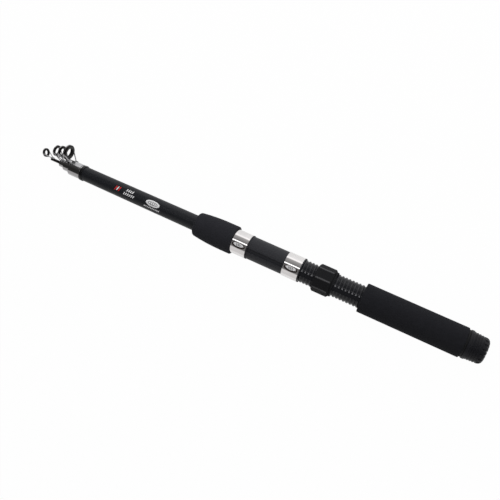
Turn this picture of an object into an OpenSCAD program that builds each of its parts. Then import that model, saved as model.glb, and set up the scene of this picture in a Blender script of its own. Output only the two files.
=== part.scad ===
// Telescopic spinning rod, drawn closed: nested sections, foam grips, a screw-down reel seat,
// a screw butt cap and a line guide at the front of each sliding section.
// The rod lies along X with its tip towards +X. The origin is on its axis, at the middle of the rear grip.
// +Z is the keyway side of the reel seat, and the reel foot sits on the -Z side.

/* [Grips] */
// Length of the rear grip
rear_grip_len = 100; // [70:1:160]
// Diameter of the rear grip
rear_grip_d = 29.5; // [27:0.5:40]
// Length of the foregrip
foregrip_len = 44; // [30:1:80]
// Largest diameter of the foregrip
foregrip_d = 29.4; // [26:0.2:36]
// Diameter of the foregrip where the rounding of its nose starts
foregrip_nose_d = 25.2; // [22:0.2:26]
// Length of the curved front of the foregrip
foregrip_curve = 32; // [16:1:40]
// Rounding of the nose of the foregrip
foregrip_nose_edge = 2.4; // [1:0.1:3]
// Rounding of the other grip edges
grip_edge = 0.8; // [0.4:0.1:2]

/* [Reel seat] */
// Diameter of the smooth seat tube
seat_d = 23.6; // [23.2:0.1:25]
// Length of the smooth seat tube
seat_len = 60; // [56:1:80]
// Length of the threaded barrel ahead of the rear grip
barrel_len = 78; // [70:1:100]
// Length of the barrel that sits inside the rear grip
barrel_tail = 8; // [4:1:14]
// Depth of the flat saddle below the round of the seat
saddle_depth = 2.2; // [1.5:0.1:2.3]

/* [Thread] */
// Diameter over the thread crests
thread_d = 22.9; // [22.6:0.1:23.1]
// Height of the thread
thread_depth = 0.8; // [0.6:0.1:1.2]
// Advance of the thread in one turn
thread_pitch = 3.5; // [3:0.1:4]
// Play between the nut and the thread on each side
thread_play = 0.2; // [0.15:0.05:0.3]
// Width of the keyway along the barrel and the seat
keyway_w = 4; // [3:0.2:5]

/* [Hoods] */
// Length of the metal sleeve of each hood
hood_len = 16.6; // [14:0.2:20]
// Width of the moulded rim behind each sleeve
hood_rim = 1; // [0.6:0.1:2]
// Wall of the metal sleeves
hood_wall = 0.4; // [0.3:0.05:0.8]
// Gap between the hoods and the seat, and of the key in its keyway
hood_play = 0.15; // [0.1:0.05:0.3]
// Clear distance between the two hoods
reel_gap = 39.5; // [36:0.5:44]
// Radius of the pocket for the reel foot
pocket_r = 7.3; // [6.8:0.1:8]
// Height of the pocket above the saddle
pocket_h = 3.6; // [3:0.1:4.4]
// Depth of the pocket along the rod
pocket_depth = 13; // [9:0.5:14]
// Wall of the moulded pocket liner
liner_wall = 0.6; // [0.4:0.1:1]
// Length of the key under the sliding hood
key_len = 8; // [5:0.5:12]

/* [Lock nut] */
// Length of the lock nut
nut_len = 17.6; // [14:0.2:20]
// Height of the lock nut's corners above the thread crests
nut_corner_h = 2.85; // [2.4:0.05:4.5]
// Turn of the lock nut's corners from the keyway side
nut_clock = 18; // [0:1:45]
// Chamfer of the lock nut
nut_chamfer = 1.4; // [0.8:0.1:2.5]
// Gap between the nut and the sliding hood
nut_gap = 14.6; // [12:0.2:18]
// Length of the slip ring behind the nut
slip_ring_len = 2; // [1.5:0.1:4]
// Wall of the slip ring
slip_ring_wall = 0.8; // [0.6:0.1:2]
// Face gap between the slip ring and the nut
slip_gap = 0.1; // [0.05:0.05:0.3]

/* [Butt cap] */
// Diameter of the cap behind its flange
cap_d = 27.2; // [25:0.2:29]
// Diameter of the cap where the rounding of its end starts
cap_end_d = 25.6; // [23:0.2:28]
// Length of the cap
cap_len = 18.6; // [17:0.2:26]
// Rounding of the cap's end
cap_edge = 3; // [1.5:0.1:5]
// Diameter of the flange at the front of the cap
flange_d = 28.2; // [27:0.2:30]
// Length of the flange
flange_len = 3; // [2:0.1:4]
// Thickness of the cap's sealing ring
gasket_len = 2; // [0.8:0.1:3]
// Diameter of the cap's sealing ring
gasket_d = 26.8; // [22:0.2:29]
// Diameter of the cap's plug
plug_d = 13.6; // [12:0.1:13.8]
// Length of the cap's plug
plug_len = 14.8; // [10:0.2:20]
// Running clearance of the plug in its socket
plug_play = 0.08; // [0.05:0.01:0.1]
// Thickness of the pad under the closed sections
pad_len = 3; // [2:0.5:6]
// Number of grooves round the cap's body
cap_grooves = 4; // [0:1:4]
// Width of each groove
cap_groove_w = 1; // [0.4:0.1:1.2]
// Depth of each groove
cap_groove_depth = 0.5; // [0.2:0.1:0.8]
// Distance from one groove to the next, and from the flange to the first
cap_groove_step = 2.5; // [1.6:0.1:2.6]
// Number of finger flutes round the cap's end
flute_count = 16; // [8:1:20]
// Diameter of each flute
flute_d = 2.2; // [1.4:0.1:4]
// Length of the flutes
flute_len = 5; // [3:0.2:6]

/* [Blank] */
// Length of the blank ahead of the foregrip
blank_show = 142; // [100:1:200]
// Diameter of the blank at its front end
blank_front_d = 15.4; // [15.3:0.05:15.8]
// Diameter of the blank at its butt end
blank_rear_d = 18.6; // [18.4:0.05:18.8]
// Wall of the blank at its front end
blank_wall = 0.85; // [0.8:0.01:0.9]
// Wall of the blank at its butt end
blank_rear_wall = 0.65; // [0.6:0.01:0.7]
// Thickness of the wrap round the blank's mouth
wrap_t = 0.7; // [0.4:0.05:1]
// Length of the wrap
wrap_len = 2.6; // [2:0.1:6]
// Glue gap round the blank, under each collar and round each hard ring
bond = 0.04; // [0.02:0.01:0.08]

/* [Sections] */
// How far the front of section 2, 3, 4 and the tip rod stands out when closed
section_show = [14.7, 8.2, 6.4, 12.7]; // [5:0.1:20]
// Diameter of the metal collar on section 2, 3, 4 and the tip rod
collar_d = [15.6, 11.4, 7.6, 3.2]; // [2.8:0.05:16]
// Wall of the collar on section 2, 3, 4 and the tip rod
collar_wall = [1.1, 0.65, 0.6, 0.4]; // [0.3:0.01:1.2]
// Wall of section 2, 3 and 4
tube_wall = [0.75, 0.65, 0.6]; // [0.5:0.01:0.8]
// Length of section 2, 3, 4 and the tip rod that stays inside when drawn out
section_overlap = [60, 52, 46, 40]; // [35:1:80]
// Gap between each closed collar and the mouth behind it
collar_gap = 0.2; // [0.1:0.05:0.5]
// Gap left where a drawn-out section jams in the mouth behind it
jam_gap = 0.04; // [0.03:0.01:0.06]
// Gap between the closed sections and their stop
stop_gap = 0.3; // [0.1:0.05:0.5]

/* [Guides] */
// Turn of the guides about the rod, from the keyway side
guide_turn = 76; // [-180:1:180]
// Outer diameter of the ring on section 2, 3, 4 and the tip rod
ring_d = [16.4, 12.6, 12, 9.4]; // [9:0.1:18]
// Inner diameter of each ring
ring_hole_d = [8.2, 6.5, 6.4, 4.5]; // [4.2:0.1:10]
// Thickness of each ring
ring_t = [3.8, 2.6, 2.8, 2.6]; // [1.8:0.1:4]
// Height of each ring's centre above the axis
ring_h = [16.2, 13.8, 12.3, 4.6]; // [4:0.1:18]
// Distance of each ring's centre ahead of its collar
ring_ahead = [5.9, 6.1, 6.3, 7.4]; // [5:0.1:9]
// Forward lean of each ring
ring_lean = [0, 3, 0, 20]; // [0:1:30]
// Length of the foot that is brazed to each collar
foot_len = [13, 7, 5.2, 4]; // [3:0.1:14]
// Distance of the side legs behind the front of each collar
leg_back = [1.7, 0.7, 0.7, 1]; // [0.7:0.1:8]
// Diameter of each guide's wire
wire_d = [1.3, 1.1, 1, 0.9]; // [0.8:0.05:1.4]
// Thickness of the band round each ring
band_t = 0.5; // [0.4:0.05:0.8]
// Share of each ring's thickness that the band covers
band_share = 0.7; // [0.5:0.05:0.9]
// Thickness of the feet
foot_t = 0.5; // [0.3:0.05:0.6]
// Half the angle that each foot wraps round its collar
foot_wrap = 40; // [30:1:60]
// Half the angle between the side legs at the collar
leg_spread = 28; // [15:1:30]

/* [Hidden] */
$fn = 64;

// Small overlap that makes cuts run clear of a face
cut = 0.5;
// Steps in a rounded edge
edge_steps = 5;
// Index of the tip rod in the lists of sections
TIP = len(section_show) - 1;

// Stations along the rod
grip_rear_x = -rear_grip_len / 2;
grip_front_x = rear_grip_len / 2;
barrel_rear_x = grip_front_x - barrel_tail;
seat_rear_x = grip_front_x + barrel_len;
seat_front_x = seat_rear_x + seat_len;
foregrip_front_x = seat_front_x + foregrip_len;
blank_front_x = foregrip_front_x + blank_show;
wrap_x = blank_front_x - wrap_len;
front_mouth_x = seat_front_x - hood_len - hood_rim;
hood_front_x = front_mouth_x - reel_gap;
hood_rear_x = hood_front_x - hood_len;
nut_front_x = hood_rear_x - hood_rim - nut_gap;
nut_rear_x = nut_front_x - nut_len;
slip_rear_x = nut_rear_x - slip_gap - slip_ring_len;
cap_front_x = grip_rear_x - gasket_len;
plug_front_x = cap_front_x + plug_len;
stop_x = plug_front_x + pad_len;
section_rear_x = stop_x + stop_gap;

// Radius of the blank at a station, and of its bore
function blank_share(x) = (x - grip_rear_x) / (blank_front_x - grip_rear_x);
function blank_r(x) = (blank_rear_d + (blank_front_d - blank_rear_d) * blank_share(x)) / 2;
function blank_bore_r(x) = blank_r(x) - blank_rear_wall - (blank_wall - blank_rear_wall) * blank_share(x);

// Radii of the reel seat
seat_r = seat_d / 2;
seat_bore_r = blank_r(seat_rear_x) + bond;
saddle_z = -(seat_r - saddle_depth);
crest_r = thread_d / 2;
root_r = crest_r - thread_depth;
// The fixed hood fits the seat tube, and the sliding hood passes over the thread too
front_hood_bore_r = seat_r + hood_play;
sliding_hood_bore_r = max(seat_r, crest_r) + hood_play;
pocket_z = saddle_z - pocket_h + pocket_r;
slip_bore_r = crest_r + hood_play;
slip_ring_r = slip_bore_r + slip_ring_wall;
nut_corner_r = crest_r + nut_corner_h;

// Front end, radii and mouth of each sliding section
function front_x(i) = section_show[i] + (i == 0 ? blank_front_x : front_x(i - 1));
function collar_r(i) = collar_d[i] / 2;
function front_r(i) = collar_r(i) - collar_wall[i] - bond;
function mouth_r(i) = i == 0 ? blank_bore_r(blank_front_x) : front_r(i - 1) - tube_wall[i - 1];
function collar_rear_x(i) = front_x(i) - section_show[i] + collar_gap;
function taper_len(i) = collar_rear_x(i) - section_rear_x;
// Length of the straight mouth that a section jams behind
function mouth_len(i) = i == 0 ? 0 : section_show[i - 1] - collar_gap;
// Bore of the section behind, where the rear end of a drawn-out section comes to rest
function rest_r(i) = i == 0 ? blank_bore_r(blank_front_x - section_overlap[0])
    : mouth_r(i) + (rear_r(i - 1) - front_r(i - 1)) * (section_overlap[i] - mouth_len(i)) / taper_len(i - 1);
// A section jams at the mouth or at its own rear end, whichever its taper meets first
function mouth_jam_r(i) = front_r(i) + (mouth_r(i) - jam_gap - front_r(i)) * taper_len(i)
    / (taper_len(i) - section_overlap[i] + mouth_len(i));
function rear_r(i) = min(mouth_jam_r(i), rest_r(i) - jam_gap);

// Place of each ring in the plane of its guide
function ring_x(i) = front_x(i) + ring_ahead[i];
function band_bore_r(i) = ring_d[i] / 2 - band_t;
function foot_r(i) = collar_r(i) + foot_t;

// A thread that runs as four edges round the barrel: foot, crest, crest, foot of the ridge
foot_share = 0.74;
crest_share = 0.42;
flank_share = (foot_share - crest_share) / 2;
RIDGE = [0, flank_share, flank_share + crest_share, foot_share];
// The nut's ridge fills the groove, less its play on both sides
nut_foot_share = 1 - crest_share - 2 * thread_play / thread_pitch;
nut_crest_share = 1 - foot_share - 2 * thread_play / thread_pitch;
nut_flank_share = (nut_foot_share - nut_crest_share) / 2;
NUT_RIDGE = [0, nut_flank_share, nut_flank_share + nut_crest_share, nut_foot_share];
// Turns of thread on the barrel, which end short of the smooth seat
thread_start_x = barrel_rear_x + thread_pitch;
barrel_turns = floor((seat_rear_x - thread_start_x) / thread_pitch) - 1;
nut_turns = floor(nut_len / thread_pitch) - 1;

// Angles round the barrel from its underside, with close pairs at the keyway's two edges
key_half = asin(keyway_w / 2 / root_r);
key_edge_angle = 0.4;
half_steps = 14;
side_span = 180 - key_half - key_edge_angle;
BARREL_ANGLES = concat(
    [for (i = [0:half_steps]) -90 + i * side_span / half_steps],
    [90 - key_half + key_edge_angle, 90, 90 + key_half - key_edge_angle],
    [for (i = [0:half_steps - 1]) 90 + key_half + key_edge_angle + i * side_span / half_steps]
);
nut_steps = 32;
NUT_ANGLES = [for (i = [0:nut_steps - 1]) -90 + nut_clock + i * 360 / nut_steps];

// Place a shape drawn along Z on the rod's axis, from a station
module along_x(x) {
    translate([x, 0, 0]) rotate([0, 90, 0]) children();
}

// Turn an outline of radius and station points about the rod's axis
module turned(outline) {
    rotate([0, 90, 0]) rotate_extrude() polygon(outline);
}

// A plain round ring between two stations
module ring_between(x0, x1, outer_r, bore_r) {
    turned([[bore_r, x0], [outer_r, x0], [outer_r, x1], [bore_r, x1]]);
}

// Extrude a cross-section drawn in Y and Z along the rod
module extrude_x(x0, x1) {
    translate([x0, 0, 0]) rotate([90, 0, 90]) linear_extrude(x1 - x0) children();
}

// Points of a rounded corner about a centre, between two angles
function arc(centre, r, from, to) = [
    for (i = [0:edge_steps])
        let (a = from + (to - from) * i / edge_steps) centre + r * [cos(a), sin(a)]
];

// A straight wire between two points
module wire(from, to, d) {
    run = to - from;
    translate(from)
        rotate([0, acos(run.z / norm(run)), atan2(run.y, run.x)])
            cylinder(h = norm(run), d = d);
}

function quad(a, b, c, d) = [[a, b, c], [a, c, d]];
function flipped(faces, flip) = [for (f = faces) flip ? [for (i = [len(f) - 1:-1:0]) f[i]] : f];

// A sleeve with a helical thread on one side. angles are the stations round it, ridge the four edges
// in shares of the pitch, radii their radii, and rows the closing rings as a station and its radii.
// Stations within key_half of the top drop to the first radius when keyed.
module threaded_sleeve(angles, start_x, turns, ridge, radii, rows, keyed, inside) {
    n = len(angles);
    last = turns * n;
    first_row = 4 * (last + 1);
    points = concat(
        [for (s = [0:3]) for (k = [0:last])
            let (
                a = angles[k % n],
                x = start_x + thread_pitch * (floor(k / n) + (a - angles[0]) / 360 + ridge[s]),
                r = keyed && abs(a - 90) < key_half ? radii[0] : radii[s]
            ) [x, r * cos(a), r * sin(a)]],
        [for (row = rows) for (i = [0:n - 1])
            [row[0], row[1][i] * cos(angles[i]), row[1][i] * sin(angles[i])]]
    );
    function edge(s, k) = s * (last + 1) + k;
    function on_row(q, i) = first_row + q * n + i % n;
    q_end = len(rows) - 1;
    flanks = [for (s = [0:2]) for (k = [0:last - 1])
        each quad(edge(s, k), edge(s + 1, k), edge(s + 1, k + 1), edge(s, k + 1))];
    floors = [for (k = [0:last - n - 1])
        each quad(edge(3, k), edge(0, k + n), edge(0, k + n + 1), edge(3, k + 1))];
    closing = [for (q = [0:q_end - 1]) for (i = [0:n - 1])
        each quad(on_row(q, i), on_row(q + 1, i), on_row(q + 1, i + 1), on_row(q, i + 1))];
    lead_in = [for (k = [0:n - 2])
        each quad(on_row(q_end, k), edge(0, k), edge(0, k + 1), on_row(q_end, k + 1))];
    lead_out = [for (k = [1:n - 1])
        let (j = last - n + k) each quad(edge(3, j), on_row(0, k), on_row(0, k + 1), edge(3, j + 1))];
    seams = [
        [on_row(q_end, n - 1), edge(0, n - 1), edge(0, n), edge(3, 0), edge(0, 0), on_row(q_end, 0)],
        [edge(0, 0), edge(3, 0), edge(2, 0), edge(1, 0)],
        [edge(3, last - n), edge(0, last), edge(3, last), on_row(0, 0), on_row(0, 1), edge(3, last - n + 1)],
        [edge(0, last), edge(1, last), edge(2, last), edge(3, last)]
    ];
    polyhedron(points, flipped(concat(flanks, floors, closing, lead_in, lead_out, seams), inside));
}

function same(r, angles) = [for (a = angles) r];
// Radius of the eight-sided nut at an angle from one of its corners
function nut_r(a) = nut_corner_r * cos(22.5) / cos(a - 45 * floor(a / 45) - 22.5);

// The outer tube of the telescope, with a wrapped mouth
module butt_blank() color("#26272b")
    turned([
        [blank_bore_r(grip_rear_x), grip_rear_x], [blank_r(grip_rear_x), grip_rear_x],
        [blank_r(wrap_x), wrap_x], [blank_r(wrap_x) + wrap_t, wrap_x],
        [blank_r(wrap_x) + wrap_t, blank_front_x], [blank_bore_r(blank_front_x), blank_front_x]
    ]);

// Foam grip ahead of the seat, with a rounded nose
module foregrip() color("#1b1b1d") {
    bore_r = blank_r(seat_front_x) + bond;
    nose_r = foregrip_nose_d / 2;
    rear_r = foregrip_d / 2;
    nose_x = foregrip_front_x - foregrip_nose_edge;
    curve_x = foregrip_front_x - foregrip_curve;
    turned(concat(
        [[bore_r, seat_front_x]],
        arc([rear_r - grip_edge, seat_front_x + grip_edge], grip_edge, -90, 0),
        [for (s = [0:0.125:0.9]) [rear_r - (rear_r - nose_r) * s * s, curve_x + s * (nose_x - curve_x)]],
        arc([nose_r - foregrip_nose_edge, nose_x], foregrip_nose_edge, 0, 90),
        [[bore_r, foregrip_front_x]]
    ));
}

// Long foam grip, bored wider at the front for the tail of the barrel
module rear_grip() color("#1b1b1d") {
    bore_r = blank_r(grip_rear_x) + bond;
    grip_r = rear_grip_d / 2;
    tail_r = crest_r + bond;
    turned(concat(
        [[bore_r, grip_rear_x]],
        arc([grip_r - grip_edge, grip_rear_x + grip_edge], grip_edge, -90, 0),
        arc([grip_r - grip_edge, grip_front_x - grip_edge], grip_edge, 0, 90),
        [[tail_r, grip_front_x], [tail_r, barrel_rear_x], [bore_r, barrel_rear_x]]
    ));
}

// Smooth part of the reel seat, with the flat saddle below and the keyway above
module seat_tube() color("#0d0d0f") difference() {
    ring_between(seat_rear_x, seat_front_x, seat_r, seat_bore_r);
    saddle_end_x = front_mouth_x + hood_rim + pocket_depth;
    translate([seat_rear_x - cut, -seat_r, -2 * seat_r])
        cube([saddle_end_x - seat_rear_x + cut, 2 * seat_r, 2 * seat_r + saddle_z]);
    translate([seat_rear_x - cut, -keyway_w / 2, root_r])
        cube([front_mouth_x - seat_rear_x + cut, keyway_w, seat_r]);
}

// Threaded part of the reel seat, with the keyway through its thread
module threaded_barrel() color("#111113") {
    bore_r = (blank_r(barrel_rear_x) + bond) / cos(90 / half_steps);
    threaded_sleeve(
        BARREL_ANGLES, thread_start_x, barrel_turns, RIDGE, [root_r, crest_r, crest_r, root_r],
        [
            [seat_rear_x, same(root_r, BARREL_ANGLES)], [seat_rear_x, same(bore_r, BARREL_ANGLES)],
            [barrel_rear_x, same(bore_r, BARREL_ANGLES)], [barrel_rear_x, same(root_r, BARREL_ANGLES)]
        ],
        true, false
    );
}

// Cross-section of a hood: round the seat, with a hump over the reel foot
module hood_section(round_r, hump_r) {
    circle(r = round_r);
    translate([0, pocket_z]) circle(r = hump_r);
}

// Moulded part of a hood: rim, and pocket liner under the sleeve. The pocket opens at mouth_x
// and runs towards end_x.
module hood_liner(rim_x, mouth_x, end_x, bore_r) {
    liner_r = pocket_r + liner_wall;
    pocket_end_x = mouth_x + sign(end_x - mouth_x) * (pocket_depth + hood_rim);
    difference() {
        union() {
            extrude_x(rim_x, rim_x + hood_rim) hood_section(bore_r + hood_wall, liner_r + hood_wall);
            extrude_x(min(mouth_x, end_x), max(mouth_x, end_x)) translate([0, pocket_z]) circle(r = liner_r);
        }
        along_x(min(mouth_x, end_x, rim_x) - cut)
            cylinder(h = hood_len + 2 * hood_rim + 2 * cut, r = bore_r);
        extrude_x(min(mouth_x, pocket_end_x) - (mouth_x < end_x ? cut : 0),
                  max(mouth_x, pocket_end_x) + (mouth_x < end_x ? 0 : cut))
            translate([0, pocket_z]) circle(r = pocket_r);
    }
}

// Metal sleeve of a hood
module hood_sleeve(x0, bore_r) {
    liner_r = pocket_r + liner_wall;
    difference() {
        extrude_x(x0, x0 + hood_len) hood_section(bore_r + hood_wall, liner_r + hood_wall);
        extrude_x(x0 - cut, x0 + hood_len + cut) hood_section(bore_r, liner_r);
    }
}

module front_hood() color("#141416")
    hood_liner(front_mouth_x, front_mouth_x, seat_front_x, front_hood_bore_r);

module front_hood_ring() color("#c9ccd1") hood_sleeve(front_mouth_x + hood_rim, front_hood_bore_r);

// Hood that slides on the seat, with a key that keeps it from turning
module sliding_hood() color("#141416") {
    rim_x = hood_rear_x - hood_rim;
    hood_liner(rim_x, hood_front_x, hood_rear_x, sliding_hood_bore_r);
    intersection() {
        translate([rim_x, -keyway_w / 2 + hood_play, root_r + hood_play])
            cube([key_len, keyway_w - 2 * hood_play, sliding_hood_bore_r]);
        along_x(rim_x) union() {
            cylinder(h = key_len, r = sliding_hood_bore_r - hood_play / 2);
            cylinder(h = hood_rim, r = sliding_hood_bore_r + hood_wall);
        }
    }
}

module sliding_hood_ring() color("#c9ccd1") hood_sleeve(hood_rear_x, sliding_hood_bore_r);

// Slip ring behind the nut, keyed to the barrel
module nut_ring() color("#101012") {
    ring_between(slip_rear_x, slip_rear_x + slip_ring_len, slip_ring_r, slip_bore_r);
    translate([slip_rear_x, -keyway_w / 2 + hood_play, root_r + hood_play])
        cube([slip_ring_len, keyway_w - 2 * hood_play, slip_bore_r - root_r + hood_wall]);
}

// Eight-sided nut, threaded inside
module lock_nut() color("#0f0f11") {
    groove_r = crest_r + thread_play;
    end_r = nut_corner_r * cos(22.5) - nut_chamfer / 4;
    // The nut's ridge is centred on the barrel's groove, a whole number of turns from its start
    groove_mid = (foot_share + 1) / 2 * thread_pitch;
    room = nut_len - (nut_turns + nut_foot_share) * thread_pitch;
    lead = thread_pitch * nut_clock / 360;
    first_x = thread_start_x + lead + groove_mid - nut_foot_share * thread_pitch / 2;
    start_x = first_x + thread_pitch * ceil((nut_rear_x + room / 4 - first_x) / thread_pitch);
    full = [for (a = NUT_ANGLES) nut_r(a - NUT_ANGLES[0])];
    chamfered = [for (r = full) min(end_r, r)];
    threaded_sleeve(
        NUT_ANGLES, start_x, nut_turns, NUT_RIDGE,
        [groove_r, root_r + thread_play, root_r + thread_play, groove_r],
        [
            [nut_front_x, same(groove_r, NUT_ANGLES)], [nut_front_x, chamfered],
            [nut_front_x - nut_chamfer, full], [nut_rear_x + nut_chamfer, full],
            [nut_rear_x, chamfered], [nut_rear_x, same(groove_r, NUT_ANGLES)]
        ],
        false, true
    );
}

// Socket in the butt of the blank for the cap's plug
module butt_bushing() color("#3a3b3f")
    ring_between(grip_rear_x, stop_x, blank_bore_r(stop_x) - bond, plug_d / 2 + plug_play);

// Screw cap with a flange, a grooved body, a fluted end and a plug
module butt_cap() color("#121214") {
    cap_r = cap_d / 2;
    end_r = cap_end_d / 2;
    cap_rear_x = cap_front_x - cap_len;
    round_x = cap_rear_x + cap_edge;
    flange_x = cap_front_x - flange_len;
    difference() {
        turned(concat(
            [[0, cap_rear_x]],
            arc([end_r - cap_edge, round_x], cap_edge, -90, 0),
            [[cap_r, flange_x], [flange_d / 2, flange_x], [flange_d / 2, cap_front_x]],
            [[plug_d / 2, cap_front_x], [plug_d / 2, plug_front_x], [0, plug_front_x]]
        ));
        for (i = [0:flute_count - 1])
            rotate([i * 360 / flute_count, 0, 0]) translate([0, 0, end_r])
                along_x(cap_rear_x - cut) cylinder(h = flute_len + cut, d = flute_d);
        for (i = [1:cap_grooves]) {
            groove_x = flange_x - i * cap_groove_step + cap_groove_w;
            rise = (cap_r - end_r) * (groove_x - round_x) / (flange_x - round_x);
            floor_r = end_r + rise - cap_groove_depth;
            ring_between(groove_x - cap_groove_w, groove_x, cap_r + cut, floor_r);
        }
    }
}

// Sealing ring between the cap and the grip
module cap_gasket() color("#1d1d20")
    ring_between(cap_front_x, grip_rear_x, gasket_d / 2, plug_d / 2 + plug_play);

// Pad on the plug that the closed sections rest on
module cap_pad() color("#2b2b2e")
    along_x(plug_front_x) cylinder(h = pad_len, r = plug_d / 2);

// A sliding section: tapered, with a straight seat for its collar. The tip rod has no bore.
module section(i) color("#2a2b2f") {
    bore_rear_r = i == TIP ? 0 : rear_r(i) - tube_wall[i];
    bore_front_r = i == TIP ? 0 : front_r(i) - tube_wall[i];
    turned(concat(
        [[bore_rear_r, section_rear_x], [rear_r(i), section_rear_x]],
        [[front_r(i), collar_rear_x(i)], [front_r(i), front_x(i)]],
        [[bore_front_r, front_x(i)]],
        i == TIP ? [] : [[bore_front_r, collar_rear_x(i)]]
    ));
}

// Metal collar at the front of a section, which carries its guide
module collar(i) color("#c4c7cc")
    ring_between(collar_rear_x(i), front_x(i), collar_r(i), front_r(i) + bond);

// Turn a shape drawn with the guide on +Z to the guides' own side, at a station
module guide_side() {
    rotate([guide_turn, 0, 0]) children();
}

// Place a shape drawn about Z on the axis of a ring
module at_ring(i) {
    translate([ring_x(i), 0, ring_h[i]]) rotate([0, 90 + ring_lean[i], 0]) children();
}

// Steel frame of a guide: foot on the collar, two side legs, a front stay and the band round the ring
module guide_frame(i) color("#b9bdc3") guide_side() {
    foot_rear_x = front_x(i) - foot_len[i];
    wire_seat_r = collar_r(i) + wire_d[i] / 2 + bond;
    leg_foot = [front_x(i) - leg_back[i], wire_seat_r * sin(leg_spread), wire_seat_r * cos(leg_spread)];
    // The legs are brazed to the outside of the band, and the stay meets it from below
    leg_top = [ring_x(i), ring_d[i] / 2 + wire_d[i] / 5, ring_h[i]];
    stay_r = ring_d[i] / 2 - band_t / 2;
    stay_top = [ring_x(i) - stay_r * sin(ring_lean[i]), 0, ring_h[i] - stay_r * cos(ring_lean[i])];
    band_w = ring_t[i] * band_share;
    ring_room = ring_t[i] + 2 * bond;
    difference() {
        union() {
            at_ring(i) translate([0, 0, -band_w / 2]) cylinder(h = band_w, d = ring_d[i]);
            for (side = [0, 1])
                mirror([0, side, 0]) wire(leg_foot, leg_top, wire_d[i]);
            wire([front_x(i) - wire_d[i], 0, wire_seat_r], stay_top, wire_d[i]);
            intersection() {
                ring_between(foot_rear_x, front_x(i), foot_r(i), collar_r(i));
                extrude_x(foot_rear_x, front_x(i)) polygon([
                    [0, 0],
                    2 * foot_r(i) * [-sin(foot_wrap), cos(foot_wrap)],
                    2 * foot_r(i) * [sin(foot_wrap), cos(foot_wrap)]
                ]);
            }
        }
        at_ring(i) translate([0, 0, -ring_room / 2]) cylinder(h = ring_room, r = band_bore_r(i));
        along_x(foot_rear_x - cut) cylinder(h = foot_len[i] + cut, r = collar_r(i) + bond);
    }
}

// Hard ring that the line runs through, with a round inner edge
module guide_insert(i) color("#0b0b0c") guide_side() at_ring(i) {
    lip_r = ring_t[i] / 2;
    lip_centre = ring_hole_d[i] / 2 + lip_r;
    outer_r = band_bore_r(i) - bond;
    intersection() {
        rotate_extrude() {
            translate([lip_centre, 0]) circle(r = lip_r);
            translate([lip_centre, -lip_r]) square([outer_r - lip_centre, ring_t[i]]);
        }
        translate([0, 0, -ring_t[i]]) cylinder(h = 2 * ring_t[i], r = outer_r);
    }
}

butt_blank();
foregrip();
seat_tube();
threaded_barrel();
front_hood();
front_hood_ring();
rear_grip();
butt_bushing();
sliding_hood();
sliding_hood_ring();
nut_ring();
lock_nut();
butt_cap();
cap_gasket();
cap_pad();
section(0);  // section_2_tube
section(1);  // section_3_tube
section(2);  // section_4_tube
section(TIP);  // tip_rod
collar(0);  // section_2_collar
collar(1);  // section_3_collar
collar(2);  // section_4_collar
collar(TIP);  // tip_top_tube
guide_frame(0);  // guide_2_frame
guide_frame(1);  // guide_3_frame
guide_frame(2);  // guide_4_frame
guide_frame(TIP);  // tip_top_frame
guide_insert(0);  // guide_2_insert
guide_insert(1);  // guide_3_insert
guide_insert(2);  // guide_4_insert
guide_insert(TIP);  // tip_top_insert
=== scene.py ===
"""Looks of a closed telescopic spinning rod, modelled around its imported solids.

The rod lies along X with its tip towards +X, and +Z is the keyway side of its reel seat. Sizes are in metres.
"""

import logging
import math
from collections.abc import Callable, Iterable, Sequence
from dataclasses import dataclass
from enum import Enum
from typing import ClassVar

import bmesh
import bpy
from mathutils import Matrix, Vector
from mathutils.geometry import interpolate_bezier


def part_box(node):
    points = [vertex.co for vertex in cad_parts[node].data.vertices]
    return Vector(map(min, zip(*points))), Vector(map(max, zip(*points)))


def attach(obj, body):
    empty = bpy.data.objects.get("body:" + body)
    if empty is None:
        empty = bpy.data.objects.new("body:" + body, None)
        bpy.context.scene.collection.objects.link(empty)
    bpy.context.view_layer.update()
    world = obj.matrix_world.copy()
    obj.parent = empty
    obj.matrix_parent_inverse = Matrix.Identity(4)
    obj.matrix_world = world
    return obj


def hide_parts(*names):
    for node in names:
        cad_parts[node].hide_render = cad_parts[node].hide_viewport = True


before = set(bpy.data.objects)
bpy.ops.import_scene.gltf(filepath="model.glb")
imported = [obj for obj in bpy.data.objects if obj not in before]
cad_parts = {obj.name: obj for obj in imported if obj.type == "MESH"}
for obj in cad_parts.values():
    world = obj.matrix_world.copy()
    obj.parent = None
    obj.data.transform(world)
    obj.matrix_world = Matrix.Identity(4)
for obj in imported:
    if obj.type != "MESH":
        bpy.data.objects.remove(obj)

log = logging.getLogger("rod")

MM = 0.001
FULL_TURN = 2 * math.pi
AXIS = Vector((1, 0, 0))
ORIGIN = Vector((0, 0, 0))
WHITE = (1, 1, 1)
EVEN = (1, 1, 1)
DOUBLED = 1e-7
SMALL_STEPS = 72
STEPS = 96
LARGE_STEPS = 128
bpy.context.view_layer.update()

Mesh = bmesh.types.BMesh
Socket = bpy.types.NodeSocket
Outline = Sequence[tuple[float, float]]
Colour = tuple[float, float, float]


class Slot(Enum):
    """Material slots of the record; no piece here is put in one."""

    BLANK = "blank_coat"
    FOAM = "grip_foam"
    SEAT = "seat_moulding"
    BRIGHT = "bright_metal"
    CAP = "cap_moulding"
    RUBBER = "cap_rubber"
    STEEL = "guide_steel"


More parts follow.
